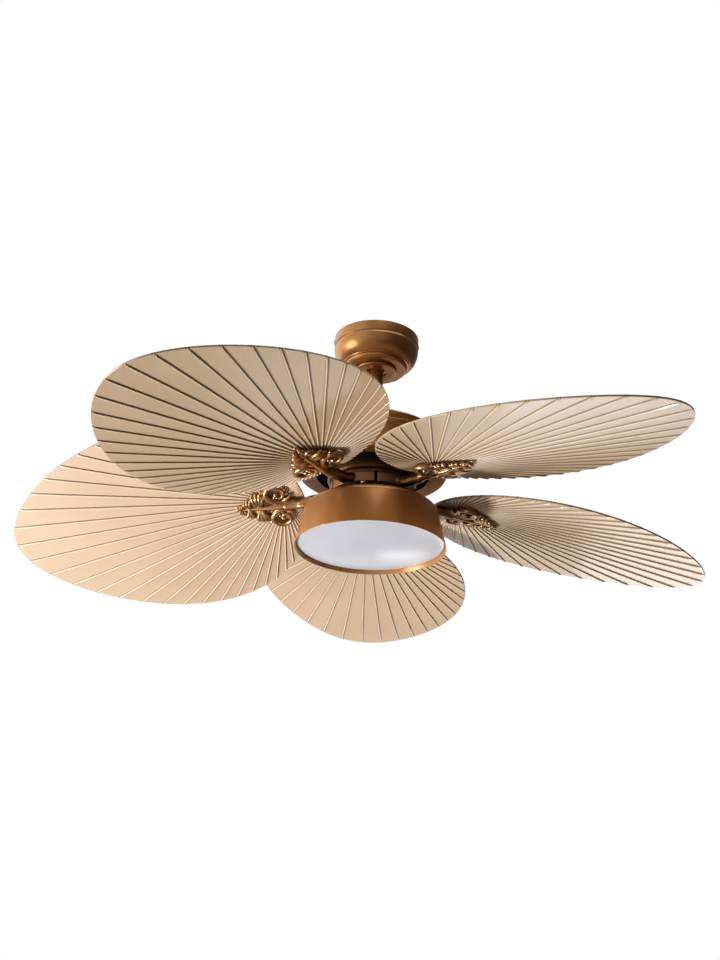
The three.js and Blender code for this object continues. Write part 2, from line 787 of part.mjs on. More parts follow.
// Lobed acanthus outline, extruded: each side swells into rounded lobes and ends in one pointed tip.
function leafPlate(bottom) {
  const shape = new THREE.Shape();
  const steps = 4 * leafLobes;
  const side = Array.from({ length: steps + 1 }, (_, i) => {
    const s = i / steps;
    const body = leafHalfWidth * (1 - s) ** 0.7 * Math.min(1, 0.35 + 2.6 * s);
    const lobe = 1 - 0.22 * Math.cos(2 * Math.PI * leafLobes * s) * (1 - s);
    return [leafRoot + leafLength * s, body * lobe];
  });
  shape.moveTo(...side[0]);
  side.slice(1).forEach(([x, y]) => shape.lineTo(x, y));
  side
    .slice(0, steps)
    .reverse()
    .forEach(([x, y]) => shape.lineTo(x, -y));
  const options = { depth: leafThickness, bevelEnabled: false };
  return solid(new THREE.ExtrudeGeometry(shape, options).translate(0, 0, bottom));
}

// Leaf, two volutes with buds, and three bosses that carry the blade, in the blade's frame.
function ornament() {
  const underside = -bladeThickness / 2;
  const leafTop = underside - leafStandoff;
  const leafBottom = leafTop - leafThickness;
  const step = leafThickness / 6; // volutes and bridges stand back from the leaf's faces
  const pieces = [leafPlate(leafBottom)];
  for (const side of [-1, 1]) {
    const volute = rod(voluteRadius, leafBottom - voluteDrop, leafTop - step, 8);
    const bud = new THREE.SphereGeometry(budRadius, 8, 4).translate(0, 0, leafBottom - voluteDrop);
    for (const shape of [volute, bud]) {
      pieces.push(solid(shape.translate(voluteAlong, side * voluteAcross, 0)));
    }
    const middleY = (side * voluteAcross) / 2;
    const middleZ = (leafTop + leafBottom) / 2;
    const height = leafThickness - 2 * step;
    pieces.push(solid(box(voluteBridge, voluteAcross, height, voluteAlong, middleY, middleZ)));
  }
  for (const [x, y] of bossPlaces) {
    pieces.push(solid(rod(bossRadius, leafBottom + step, underside - seat, 8).translate(x, y, 0)));
  }
  const holes = bossPlaces.map(([x, y]) =>
    solid(rod(screwRadius + seat, leafBottom + 2 * step, underside + 2, holeSides).translate(x, y, 0)),
  );
  return { body: joined(pieces), holes };
}

// Curved pad under the flywheel.
function ironPad() {
  const half = Math.PI / bladeCount - THREE.MathUtils.degToRad(padGapDegrees);
  const shape = new THREE.Shape();
  shape.absarc(0, 0, padOuterRadius, -half, half);
  shape.absarc(0, 0, padInnerRadius, half, -half, true);
  const options = { depth: padHeight, bevelEnabled: false, curveSegments: 6 };
  return solid(new THREE.ExtrudeGeometry(shape, options).translate(0, 0, padBottom));
}

// Oval arm that swoops from the pad, down and out, up to the root of the leaf.
function ironArm(leafEnd, leafInside) {
  const start = new THREE.Vector3(padMiddleRadius, 0, padBottom + armHeight / 2);
  const low = start.clone().lerp(leafEnd, armDipShare);
  low.z -= armDip;
  const path = new THREE.CatmullRomCurve3([start, low, leafEnd, leafInside]);
  const steps = 7;
  const sides = 8;
  const rings = Array.from({ length: steps + 1 }, (_, i) => {
    const share = i / steps;
    const middle = path.getPointAt(share);
    const along = path.getTangentAt(share);
    const across = new THREE.Vector3(0, 1, 0);
    const up = new THREE.Vector3().crossVectors(along, across).normalize();
    const size = 1 + (armTipShare - 1) * share;
    return Array.from({ length: sides }, (_, j) => {
      const angle = (2 * Math.PI * j) / sides;
      return middle
        .clone()
        .addScaledVector(across, (armWidth / 2) * size * Math.cos(angle))
        .addScaledVector(up, (armHeight / 2) * size * Math.sin(angle));
    });
  });
  return solid(loft(rings));
}

function bladeIron(pitchDegrees) {
  const matrix = bladeMatrix(pitchDegrees);
  const { body, holes } = ornament();
  const place = (part) => part.transform(matrix.elements);
  const depth = -bladeThickness / 2 - ribHeight - 2 * seat - (armHeight * armTipShare) / 2;
  const leafEnd = new THREE.Vector3(leafRoot + armLeafStart, 0, depth).applyMatrix4(matrix);
  const leafInside = new THREE.Vector3(leafRoot + armLeafEnd, 0, depth).applyMatrix4(matrix);
  const casting = joined([ironPad(), ironArm(leafEnd, leafInside), place(body)]);
  return cut(casting, [solid(ironScrewHole()), ...holes.map(place)]);
}

const bladeGeometry = blade();
for (let i = 0; i < bladeCount; i++) {
  const spoke = new THREE.Group();
  spoke.rotation.z = ironAzimuth(i);
  rotor.add(spoke);
  const pitch = bladePitchDegrees[i];
  add(`blade_iron_${i + 1}`, bladeIron(pitch), castBronze, spoke);

  const ironScrew = add(`iron_screw_${i + 1}`, screw(padHeight + flywheelHeight + seat), steel, spoke);
  ironScrew.rotation.x = Math.PI;
  ironScrew.position.set(ironScrewX, ironScrewY, padBottom - seat);

  const tilted = new THREE.Group();
  bladeMatrix(pitch).decompose(tilted.position, tilted.quaternion, tilted.scale);
  spoke.add(tilted);
  add(`blade_${i + 1}`, bladeGeometry, palm, tilted);
  bossPlaces.forEach(([x, y], j) => {
    const mesh = add(
      `blade_screw_${i + 1}${"abc"[j]}`,
      screw(bladeThickness + leafStandoff + leafThickness - 2),
      castBronze,
      tilted,
    );
    mesh.position.set(x, y, bladeThickness / 2 + seat);
  });
}

// ---- Drum light ----
// Fixed neck: an upturned cup that hangs on the shaft's nut and carries the plate, which carries the drum.
function lightNeck() {
  return turned(
    [
      [shaftRadius + seat, neckTop],
      [neckRadius - 2, neckTop],
      [neckRadius, neckTop - 2],
      [neckRadius, neckBottom],
      [neckRadius - neckWall - neckFlange, neckBottom],
      [neckRadius - neckWall - neckFlange, neckBottom + neckWall],
      [neckRadius - neckWall, neckBottom + neckWall],
      [neckRadius - neckWall, neckTop - neckWall],
      [shaftRadius + seat, neckTop - neckWall],
    ],
    partSides,
  );
}

const drumShoulderZ = drumPlateTop - drumShoulderHeight;

function drumRadiusAt(z) {
  const share = (z - drumBottom) / (drumShoulderZ - drumBottom);
  return drumRimRadius + (drumShoulderRadius - drumRimRadius) * share;
}

function drum() {
  const flangeInner = drumTopRadius - drumFlange;
  const steps = 4;
  const shoulder = Array.from({ length: steps + 1 }, (_, i) => {
    const angle = (Math.PI / 2) * (i / steps);
    return [
      drumTopRadius + (drumShoulderRadius - drumTopRadius) * Math.cos(angle),
      drumShoulderZ + (drumTop - drumShoulderZ) * Math.sin(angle),
    ];
  });
  const outer = [[drumRimRadius, drumBottom], ...shoulder, [flangeInner, drumTop]];
  const inner = [
    [flangeInner, drumTop - drumSheet],
    ...shoulder.reverse().map(([r, z]) => [r - drumSheet, Math.min(z, drumTop - drumSheet)]),
    [drumRimRadius - drumSheet, drumBottom],
  ];
  return turned([...outer, ...inner], shellSides);
}

// Shallow opal dish whose skirt sits inside the drum's wall.
function lens() {
  const edgeZ = drumBottom + lensRecess;
  const skirtTop = edgeZ + lensSkirt;
  const topRadius = drumRadiusAt(skirtTop) - drumSheet - seat;
  const edgeRadius = drumRadiusAt(edgeZ) - drumSheet - seat;
  const steps = 5;
  const dish = Array.from({ length: steps }, (_, i) => {
    const share = i / steps;
    return [edgeRadius * share, edgeZ - lensDome * (1 - share ** 2)];
  });
  const back = dish
    .slice(1)
    .reverse()
    .map(([r, z]) => [r, z + lensWall]);
  const rim = [
    [edgeRadius - 1, edgeZ],
    [edgeRadius, edgeZ + 1],
    [topRadius, skirtTop],
    [topRadius - lensWall, skirtTop],
    [topRadius - lensWall, edgeZ + lensWall],
  ];
  return turned([...dish, ...rim, ...back, [0, edgeZ - lensDome + lensWall]], shellSides);
}

add("light_neck", lightNeck(), darkPaint);
const nutTop = neckTop - neckWall - seat;
const nutBore = solid(rod(shaftRadius + seat, nutTop - shaftNutHeight - 1, nutTop + 1, roundSides));
const nutBlank = solid(rod(shaftNutRadius, nutTop - shaftNutHeight, nutTop, 6));
add("shaft_nut", cut(nutBlank, [nutBore]), steel);
add("drum", drum(), bronze);
add("drum_plate", ring(drumTopRadius, drumWireHole, drumPlateBottom, drumPlateTop, shellSides), bronze);
const boardTop = drumTop - drumSheet - seat;
const driverTop = drumPlateBottom - seat;
add(
  "led_board",
  ring(ledBoardOuter, ledBoardInner, boardTop - ledBoardThickness, boardTop, partSides),
  whiteBoard,
);
add(
  "led_driver",
  box(driverLength, driverWidth, driverHeight, 0, 0, driverTop - driverHeight / 2),
  whiteBoard,
);
add("lens", lens(), opal);

export default fan;
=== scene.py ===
"""Palm-leaf ceiling fan with a drum light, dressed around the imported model.

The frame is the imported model's: +Z up, the origin on the ceiling and blade 1 along +Y. The fan's
own lengths are in millimetres, which MM turns into metres. The camera, the floor, the lamps and
what the materials measure are in metres.
"""
import json
import math

import bmesh
import bpy
import numpy as np
from mathutils import Matrix, Vector

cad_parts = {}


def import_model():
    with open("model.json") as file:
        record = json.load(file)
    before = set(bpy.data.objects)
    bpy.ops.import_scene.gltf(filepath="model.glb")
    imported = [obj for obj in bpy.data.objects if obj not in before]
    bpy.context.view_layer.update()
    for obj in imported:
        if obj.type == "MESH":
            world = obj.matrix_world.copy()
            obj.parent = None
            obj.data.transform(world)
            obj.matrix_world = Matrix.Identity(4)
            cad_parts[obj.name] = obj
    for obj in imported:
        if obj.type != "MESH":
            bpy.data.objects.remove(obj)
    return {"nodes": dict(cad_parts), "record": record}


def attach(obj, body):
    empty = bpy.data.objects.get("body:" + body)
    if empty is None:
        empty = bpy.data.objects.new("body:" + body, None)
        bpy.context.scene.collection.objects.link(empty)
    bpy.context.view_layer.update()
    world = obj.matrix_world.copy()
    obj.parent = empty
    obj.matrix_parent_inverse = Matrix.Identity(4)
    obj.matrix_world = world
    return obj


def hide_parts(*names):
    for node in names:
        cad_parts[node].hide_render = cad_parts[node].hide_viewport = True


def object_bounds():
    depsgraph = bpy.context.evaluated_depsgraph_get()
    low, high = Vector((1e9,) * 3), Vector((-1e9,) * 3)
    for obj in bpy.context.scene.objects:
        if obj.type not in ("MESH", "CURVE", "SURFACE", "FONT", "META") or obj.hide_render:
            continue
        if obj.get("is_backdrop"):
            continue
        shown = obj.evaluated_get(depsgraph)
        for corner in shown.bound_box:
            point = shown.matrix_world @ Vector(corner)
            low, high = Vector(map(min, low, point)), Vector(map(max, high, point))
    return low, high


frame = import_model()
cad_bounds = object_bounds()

MM = 0.001


def linked(name, data):
    """A new object in the scene."""
    made = bpy.data.objects.new(name, data)
    bpy.context.scene.collection.objects.link(made)
    return made


# ---- Camera, at the photograph's angle ----
CAMERA_PLACE = (-0.20389, -2.29360, -1.28363)
CAMERA_FORWARD = (0.07265, 0.91352, 0.40026)
CAMERA_UP = (-0.06699, -0.39594, 0.91583)
CAMERA_LENS = 54.07


def place_camera():
    forward = Vector(CAMERA_FORWARD).normalized()
    right = forward.cross(Vector(CAMERA_UP)).normalized()
    up = right.cross(forward)
    data = bpy.data.cameras.new("photo_camera")
    data.sensor_width = 36
    data.lens = CAMERA_LENS
    data.clip_start = 0.05
    data.clip_end = 60
    camera = linked("photo_camera", data)
    turn = Matrix((right, up, -forward)).transposed().to_4x4()
    camera.matrix_world = Matrix.Translation(CAMERA_PLACE) @ turn
    bpy.context.scene.camera = camera


place_camera()


# ---- Materials ----
NOISE_SPAN = (0.3, 0.7)  # nearly all values of a noise texture lie in it
BRONZE_DARK = (0.29, 0.128, 0.038)
BRONZE_PALE = (0.39, 0.185, 0.062)
BRONZE_FLAKE = (0.22, 0.095, 0.030)
PATINA = (0.19, 0.09, 0.032)
PAD_EDGE = (0.0755, 0.079)  # from the axis: satin paint within the first, polish past the second
PAD_ROUGHNESS = 0.5
CREASE_GLOSS = (1.0, 0.15)  # gloss of the blade's face and in its creases
COAT_SHARE = 0.4


class Nodes:
    """Short calls for the nodes of one tree, of a material or of the world."""

    def __init__(self, tree):
        self.tree = tree

    def node(self, kind, **settings):
        made = self.tree.nodes.new(kind)
        for key, value in settings.items():
            setattr(made, key, value)
        return made

    def feed(self, value, socket):
        """Gives a socket another node's output, a colour of (r, g, b) or a number."""
        if isinstance(value, bpy.types.NodeSocket):
            self.tree.links.new(value, socket)
        elif isinstance(value, tuple):
            socket.default_value = (*value, 1.0)
        else:
            socket.default_value = value

    def calculate(self, operation, first, second):
        made = self.node("ShaderNodeMath", operation=operation)
        self.feed(first, made.inputs[0])
        self.feed(second, made.inputs[1])
        return made.outputs["Value"]

    def mapped(self, source, span, values, **settings):
        """Maps the values in a span of (low, high) to those from one value to another."""
        made = self.node("ShaderNodeMapRange", **settings)
        for label, value in zip(("From Min", "From Max", "To Min", "To Max"), (*span, *values)):
            made.inputs[label].default_value = value
        self.feed(source, made.inputs["Value"])
        return made.outputs["Result"]

    def faded(self, source, span, values):
        """Maps as mapped does, with soft ends."""
        return self.mapped(source, span, values, interpolation_type="SMOOTHSTEP")

    def axes(self, vector):
        made = self.node("ShaderNodeSeparateXYZ")
        self.feed(vector, made.inputs["Vector"])
        return made.outputs


class Finish(Nodes):
    """A node material, with short calls for what the finishes here share."""

    def __init__(self, name, roughness, metallic=0.0, **sockets):
        self.material = bpy.data.materials.new(name)
        self.material.use_nodes = True
        super().__init__(self.material.node_tree)
        self.shader = self.tree.nodes["Principled BSDF"]
        self.shader.inputs["Roughness"].default_value = roughness
        self.shader.inputs["Metallic"].default_value = metallic
        for socket, value in sockets.items():
            self.shader.inputs[socket.replace("_", " ")].default_value = value
        self.place = self.node("ShaderNodeTexCoord").outputs["Object"]

    def noise(self, scale, detail=3.0, where=None):
        made = self.node("ShaderNodeTexNoise")
        made.inputs["Scale"].default_value = scale
        made.inputs["Detail"].default_value = detail
        self.feed(where or self.place, made.inputs["Vector"])
        return made.outputs["Fac"]

    def ramp(self, source, *stops):
        """Maps a value through colour stops of (position, (r, g, b))."""
        made = self.node("ShaderNodeValToRGB")
        points = made.color_ramp.elements
        while len(points) < len(stops):
            points.new(0.5)
        for point, (position, color) in zip(points, stops):
            point.position = position
            point.color = (*color, 1.0)
        self.feed(source, made.inputs["Fac"])
        return made.outputs["Color"]

    def shades(self, source, low, high):
        """Maps noise to the shades between two colours."""
        return self.ramp(source, *zip(NOISE_SPAN, (low, high)))

    def spread(self, source, low, high):
        """Maps noise to the values between two numbers."""
        return self.mapped(source, NOISE_SPAN, (low, high))

    def blend(self, share, first, second):
        made = self.node("ShaderNodeMix", data_type="RGBA")
        self.feed(share, made.inputs["Factor"])
        self.feed(first, made.inputs[6])
        self.feed(second, made.inputs[7])
        return made.outputs[2]

    def attribute(self, name):
        return self.node("ShaderNodeAttribute", attribute_name=name).outputs["Fac"]

    def drive(self, socket, source):
        self.feed(source, self.shader.inputs[socket])

    def bump(self, source, distance, strength=1.0):
        made = self.node("ShaderNodeBump")
        made.inputs["Distance"].default_value = distance
        made.inputs["Strength"].default_value = strength
        self.feed(source, made.inputs["Height"])
        self.drive("Normal", made.outputs["Normal"])


def bronze_finish(name="antique_bronze", painted_light_scale=1.0, metallic=0.82):
    """Satin sprayed antique bronze: slow shade drift, fine flake and a faint orange peel. The scale
    multiplies its colours: below 1 it gives a copy with painted shade, above 1 a copy with painted
    light.
    """
    made = Finish(name, 0.32, metallic)
    dark, pale, flake = (
        tuple(part * painted_light_scale for part in color) for color in (BRONZE_DARK, BRONZE_PALE, BRONZE_FLAKE)
    )
    drift = made.shades(made.noise(7, 2), dark, pale)
    made.drive("Base Color", made.blend(made.spread(made.noise(1400, 2), 0.0, 0.2), drift, flake))
    made.drive("Roughness", made.spread(made.noise(60, 4), 0.29, 0.36))
    made.bump(made.noise(420, 2), 0.00002)
    return made.material


def casting_finish():
    """Polished antique bronze, dark in the hollows and gold on the crests, with satin pads."""
    made = Finish("cast_bronze", 0.3, 0.9)
    worn = made.ramp(
        made.node("ShaderNodeNewGeometry").outputs["Pointiness"],
        (0.43, (0.07, 0.027, 0.009)),
        (0.50, (0.34, 0.175, 0.07)),
        (0.57, (0.62, 0.40, 0.20)),
    )
    polished = made.blend(made.spread(made.noise(60, 3), 0.0, 0.3), worn, PATINA)
    flat = made.node("ShaderNodeVectorMath", operation="MULTIPLY")
    flat.inputs[1].default_value = (1, 1, 0)
    made.feed(made.place, flat.inputs[0])
    radius = made.node("ShaderNodeVectorMath", operation="LENGTH")
    made.feed(flat.outputs["Vector"], radius.inputs[0])
    on_pad = made.mapped(radius.outputs["Value"], PAD_EDGE, (1.0, 0.0))
    satin = made.shades(made.noise(40, 3), (0.25, 0.135, 0.066), (0.31, 0.17, 0.085))
    made.drive("Base Color", made.blend(on_pad, polished, satin))
    gloss = made.spread(made.noise(120, 2), 0.25, 0.34)
    made.drive("Roughness", made.blend(on_pad, gloss, (PAD_ROUGHNESS,) * 3))
    made.bump(made.noise(260, 2), 0.00003)
    return made.material


def blade_finish():
    """Moulded palm leaf: tan, with faint fibres, paler crests, and painted shade in the creases, which
    have no gloss.
    """
    made = Finish("palm_blade", 0.5, Coat_Roughness=0.15)
    along = made.node("ShaderNodeUVMap", uv_map="leaf").outputs["UV"]
    drift = made.shades(made.noise(9, 3), (0.565, 0.385, 0.224), (0.62, 0.43, 0.26))
    fibre = made.noise(16, 5, along)
    tone = made.blend(made.spread(fibre, 0.0, 0.3), drift, (0.54, 0.345, 0.185))
    crest = made.calculate("MULTIPLY", made.attribute("crest"), 0.75)
    crease = made.attribute("crease")
    pale = made.blend(crest, tone, (0.84, 0.66, 0.45))
    # Painted shade: the creases at each rib's feet are darkened towards deep brown, as shadow would
    # make them.
    crease_painted_shade = made.blend(made.calculate("MULTIPLY", crease, 0.85), pale, (0.10, 0.04, 0.012))
    made.drive("Base Color", crease_painted_shade)
    gloss = made.mapped(crease, (0.0, 1.0), CREASE_GLOSS)
    made.drive("Specular IOR Level", gloss)
    made.drive("Coat Weight", made.calculate("MULTIPLY", gloss, COAT_SHARE))
    made.drive("Roughness", made.spread(fibre, 0.46, 0.54))
    made.bump(fibre, 0.00006, 0.5)
    return made.material


def lens_finish():
    """Opal glass, lit from the room alone."""
    made = Finish("opal_lens", 0.15)
    cloudy = made.shades(made.noise(30, 2), (0.64, 0.63, 0.665), (0.67, 0.66, 0.695))
    made.drive("Base Color", cloudy)
    made.drive("Roughness", made.spread(made.noise(120, 2), 0.14, 0.17))
    return made.material


def plain_finish(name, low, high, roughness, metallic=0.0, grain=300):
    """A finish with a small shade change and grain, for plates, castings and plastics."""
    made = Finish(name, roughness, metallic)
    made.drive("Base Color", made.shades(made.noise(grain / 12, 4), low, high))
    worn = made.spread(made.noise(grain / 4, 4), roughness * 0.85, roughness * 1.2)
    made.drive("Roughness", worn)
    made.bump(made.noise(grain, 3), 0.00003)
    return made.material


# slot: darker shade, paler shade, roughness, metallic, grain
PLAIN_FINISHES = {
    "zinc_plate": ((0.50, 0.51, 0.52), (0.62, 0.63, 0.65), 0.38, 0.95, 240),
    "steel": ((0.52, 0.52, 0.53), (0.62, 0.62, 0.63), 0.3, 1.0, 500),
    "dark_paint": ((0.012, 0.008, 0.006), (0.022, 0.014, 0.010), 0.28, 0.2),
    "cast_aluminium": ((0.55, 0.56, 0.57), (0.65, 0.66, 0.67), 0.5, 0.9),
    "lamination": ((0.05, 0.052, 0.056), (0.10, 0.10, 0.11), 0.5, 0.7),
    "copper_wire": ((0.42, 0.15, 0.06), (0.55, 0.22, 0.10), 0.35, 0.8),
    "white_board": ((0.78, 0.78, 0.76), (0.84, 0.84, 0.82), 0.5),
    "black_plastic": ((0.014, 0.014, 0.014), (0.026, 0.026, 0.026), 0.55),
}
FINISHES = {
    "antique_bronze": bronze_finish(),
    "cast_bronze": casting_finish(),
    "palm_blade": blade_finish(),
    "opal_lens": lens_finish(),
    **{slot: plain_finish(slot, *values) for slot, values in PLAIN_FINISHES.items()},
}
# Painted shade: a copy of the bronze at 0.3 of its colour, for the rotor's case and flywheel, which
# sit in the shade of the housing's opening.
PAINTED_SHADE_BRONZE = bronze_finish("antique_bronze_painted_shade", 0.3)
# Painted light: a copy of the bronze at 1.45 of its colour and less metallic, which makes the drum
# look more brightly lit.
DRUM_BRONZE_PAINTED_LIGHT = bronze_finish("antique_bronze_drum_painted_light", 1.45, 0.5)


# ---- Mesh helpers ----
CORNER_SHARE = 0.4  # of a profile's side, at most, that the rounding of a corner takes
SMALLEST_CORNER = 0.05


def piece(name, mesh, slot, body, nodes=(), sharp_degrees=35.0, finish=None):
    """Links a mesh as a named piece with its finish, riding on a body, in place of CAD nodes."""
    mesh.materials.append(finish or FINISHES[slot])
    mesh.shade_smooth()
    mesh.set_sharp_from_angle(angle=math.radians(sharp_degrees))
    made = linked(name, mesh)
    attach(made, body)
    if nodes:
        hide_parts(*nodes)
    return made


def mesh_from(name, points, faces):
    mesh = bpy.data.meshes.new(name)
    mesh.from_pydata([tuple(p) for p in points], [], [tuple(f) for f in faces])
    mesh.validate()
    return mesh


def circle(radius, z, sides):
    angles = [2 * math.pi * j / sides for j in range(sides)]
    return [(radius * math.cos(a), radius * math.sin(a), z) for a in angles]


def wall_faces(rings, sides):
    """Faces between rings of points, one after another, with this many points each."""
    faces = []
    for low in range(0, (rings - 1) * sides, sides):
        for j in range(sides):
            k = (j + 1) % sides
            faces.append((low + j, low + k, low + sides + k, low + sides + j))
    return faces


def filleted(profile, radius, steps=4):
    """Rounds each corner of a closed profile of (r, z) points by up to the radius."""
    points = [np.array(p, float) for p in profile]
    made = []
    count = len(points)
    for i, corner in enumerate(points):
        before, after = points[i - 1], points[(i + 1) % count]
        back, ahead = before - corner, after - corner
        shorter = (CORNER_SHARE * np.linalg.norm(side) for side in (back, ahead))
        reach = min(radius, *shorter)
        if corner[0] == 0 or reach < SMALLEST_CORNER:
            made.append(tuple(corner))
            continue
        start = corner + back / np.linalg.norm(back) * reach
        end = corner + ahead / np.linalg.norm(ahead) * reach
        for j in range(steps + 1):
            t = j / steps
            made.append(tuple((1 - t) ** 2 * start + 2 * t * (1 - t) * corner + t * t * end))
    return made


def lathe(name, profile, radius=0.6, sides=160):
    """Turns a closed profile of (r, z) points, in millimetres, about the Z axis."""
    rows = filleted(profile, radius)
    points, faces, first = [], [], []
    for r, z in rows:
        first.append(len(points))
        points += [(0, 0, z * MM)] if r == 0 else circle(r * MM, z * MM, sides)
    area = sum(a[0] * b[1] - b[0] * a[1] for a, b in zip(rows, rows[1:] + rows[:1]))
    for i, (r, _) in enumerate(rows):
        k = (i + 1) % len(rows)
        next_r = rows[k][0]
        if r == 0 and next_r == 0:
            continue
        for j in range(sides):
            m = (j + 1) % sides
            if r == 0:
                face = (first[i], first[k] + m, first[k] + j)
            elif next_r == 0:
                face = (first[i] + j, first[i] + m, first[k])
            else:
                face = (first[i] + j, first[i] + m, first[k] + m, first[k] + j)
            faces.append(face if area > 0 else face[::-1])
    return mesh_from(name, points, faces)


def arc(middle_r, middle_z, radius_r, radius_z, start, end, steps):
    """Points on an ellipse in the (r, z) plane, from one angle to another, in degrees."""
    angles = np.radians(np.linspace(start, end, steps + 1))
    return [
        (middle_r + radius_r * math.cos(a), middle_z + radius_z * math.sin(a)) for a in angles
    ]


# ---- Canopy, rod and coupling ----
BOWL_TURN = 73.8
BOWL_NARROWING = 16
BOWL_DEPTH = 33
BALL_LEVEL = -43
BALL_RADIUS = 24
BALL_CUT = 16  # half the height of the ball between its flat ends
PIN_LEVEL = -145
PIN_HOLE = 3.3


def canopy_shell():
    span_r = BOWL_NARROWING / (1 - math.cos(math.radians(BOWL_TURN)))
    span_z = BOWL_DEPTH / math.sin(math.radians(BOWL_TURN))
    bowl = arc(76 - span_r, -20, span_r, span_z, 0, -BOWL_TURN, 14)
    outer = [(76, 0), (76, -17.4), (74.4, -18.6), (75.2, -19.8), *bowl[1:]]
    outer += [(59.2, -54.6), (56.6, -54.8), (56.2, -58.4), (53, -62)]
    mouth = [(21, -62), (21, -60.4)]
    inner = [(r - 1.8, z + 1.6) for r, z in reversed(bowl[1:])]
    profile = [*outer, *mouth, (51, -60.4), *inner, (74.4, -21), (74.4, 0)]
    return lathe("canopy_shell", profile, 0.5, 192)


piece("canopy_shell", canopy_shell(), "antique_bronze", "bracket", ["canopy"])
cover = [(20, -62.3), (38, -62.3), (38, -65.6), (36.6, -67.3), (20, -67.3)]
cover_mesh = lathe("canopy_foot", cover, 0.8)
piece("canopy_foot", cover_mesh, "antique_bronze", "bracket", ["canopy_cover"])


def punched_tube(name, outer, inner, bottom, top, holes):
    """A tube with round cross holes for its pins, cut with a boolean modifier."""
    profile = [(inner, bottom), (outer, bottom), (outer, top), (inner, top)]
    tube = linked(name, lathe(name, profile, 0.4, 96))
    for z, radius in holes:
        cutter = linked("cutter", cross_rod("cutter", radius, 3 * outer, z))
        change = tube.modifiers.new("hole", "BOOLEAN")
        change.operation = "DIFFERENCE"
        change.object = cutter
        change.solver = "EXACT"
        cut = tube.evaluated_get(bpy.context.evaluated_depsgraph_get())
        mesh = bpy.data.meshes.new_from_object(cut)
        tube.modifiers.clear()
        tube.data = mesh
        bpy.data.objects.remove(cutter)
    mesh = tube.data
    bpy.data.objects.remove(tube)
    mesh.name = name
    return mesh


def cross_rod(name, radius, length, z, x=0.0):
    """A cylinder lying along X, with rounded ends."""
    half = length / 2
    profile = [(0, -half), (radius, -half), (radius, half), (0, half)]
    mesh = lathe(name, profile, 0.6, 48)
    mesh.transform(Matrix.Translation((x * MM, 0, z * MM)) @ Matrix.Rotation(math.pi / 2, 4, "Y"))
    return mesh


pin_holes = [(BALL_LEVEL, PIN_HOLE), (PIN_LEVEL, PIN_HOLE)]
rod_mesh = punched_tube("rod_tube", 13.5, 11.3, -156, BALL_LEVEL + BALL_CUT, pin_holes)
piece("rod_tube", rod_mesh, "antique_bronze", "hanger", ["downrod"])
ball_edge = math.degrees(math.asin(BALL_CUT / BALL_RADIUS))
ball = [
    (13.8, BALL_LEVEL - BALL_CUT),
    *arc(0, BALL_LEVEL, BALL_RADIUS, BALL_RADIUS, -ball_edge, ball_edge, 16),
    (13.8, BALL_LEVEL + BALL_CUT),
]
ball_mesh = lathe("hanger_ball_smooth", ball, 0.8, 96)
piece("hanger_ball_smooth", ball_mesh, "black_plastic", "hanger", ["hanger_ball"])
coupling_profile = [
    (8.8, -178),
    (38, -178),
    (38, -174),
    (21, -174),
    (21, -136),
    (19, -134),
    (13.8, -134),
    (13.8, -156.3),
    (8.8, -156.3),
]
coupling_mesh = lathe("coupling_body", coupling_profile, 1.2, 96)
piece("coupling_body", coupling_mesh, "zinc_plate", "hanger", ["coupling"])


def joined(name, meshes):
    """Several meshes as one."""
    build = bmesh.new()
    for mesh in meshes:
        build.from_mesh(mesh)
        bpy.data.meshes.remove(mesh)
    mesh = bpy.data.meshes.new(name)
    build.to_mesh(mesh)
    build.free()
    return mesh


pin_parts = [
    cross_rod("pin_shank", 3, 48, PIN_LEVEL),
    cross_rod("pin_head", 5, 2.5, PIN_LEVEL, 23.5),
]
pin_mesh = joined("coupling_cross_pin", pin_parts)
piece("coupling_cross_pin", pin_mesh, "steel", "hanger", ["coupling_pin"])


# ---- Motor housing, rotor and flywheel ----
def housing_shell():
    shares = np.linspace(0, 1, 21)
    dome = [(45 + 67 * s, -171.7 - 21 * s + 20 * s * (1 - s)) for s in shares]
    outer = [
        *dome,
        (114, -195),
        (114, -202.6),
        (113.2, -204.2),
        (111.6, -205.7),
        (113.4, -207.4),
        (113.5, -216.4),
        (111, -218.7),
        (111, -259.7),
    ]
    inner = [(109, -259.7), (109, -196), *[(r - 1.4, z - 2) for r, z in reversed(dome[:-1])]]
    return lathe("housing_shell", [*outer, *inner, (22, -173.7), (22, -171.7)], 0.8, 200)


def housing_foot():
    profile = [
        (100, -270),
        (127.2, -270),
        (129, -268.4),
        (129, -263),
        (126, -260),
        (103, -260),
        (103, -268),
        (100, -268),
    ]
    return lathe("housing_foot", profile, 0.9, 200)


def case_shell():
    """Lower half of the rotor's case, which shows in the housing's opening."""
    profile = [
        (9.4, -285.7),
        (75, -285.7),
        (78, -282.7),
        (78, -246.85),
        (74.5, -246.85),
        (74.5, -282.2),
        (21.3, -282.2),
        (21.3, -273.2),
        (17.8, -273.2),
        (17.8, -282.2),
        (9.4, -282.2),
    ]
    return lathe("case_shell", profile, 0.8, 128)


piece("housing_shell", housing_shell(), "antique_bronze", "hanger", ["motor_housing"])
piece("housing_foot", housing_foot(), "antique_bronze", "hanger", ["housing_rim"])
# The rotor's case and flywheel take the darkened copy of the bronze: painted shade in the housing's
# opening.
painted_shade_finish = {"finish": PAINTED_SHADE_BRONZE}
piece("case_shell", case_shell(), "antique_bronze", "rotor", ["rotor_lower_case"], **painted_shade_finish)
wheel = lathe("flywheel_ring", [(60, -292), (73, -292), (73, -286), (60, -286)], 0.8, 160)
piece("flywheel_ring", wheel, "antique_bronze", "rotor", ["flywheel"], **painted_shade_finish)


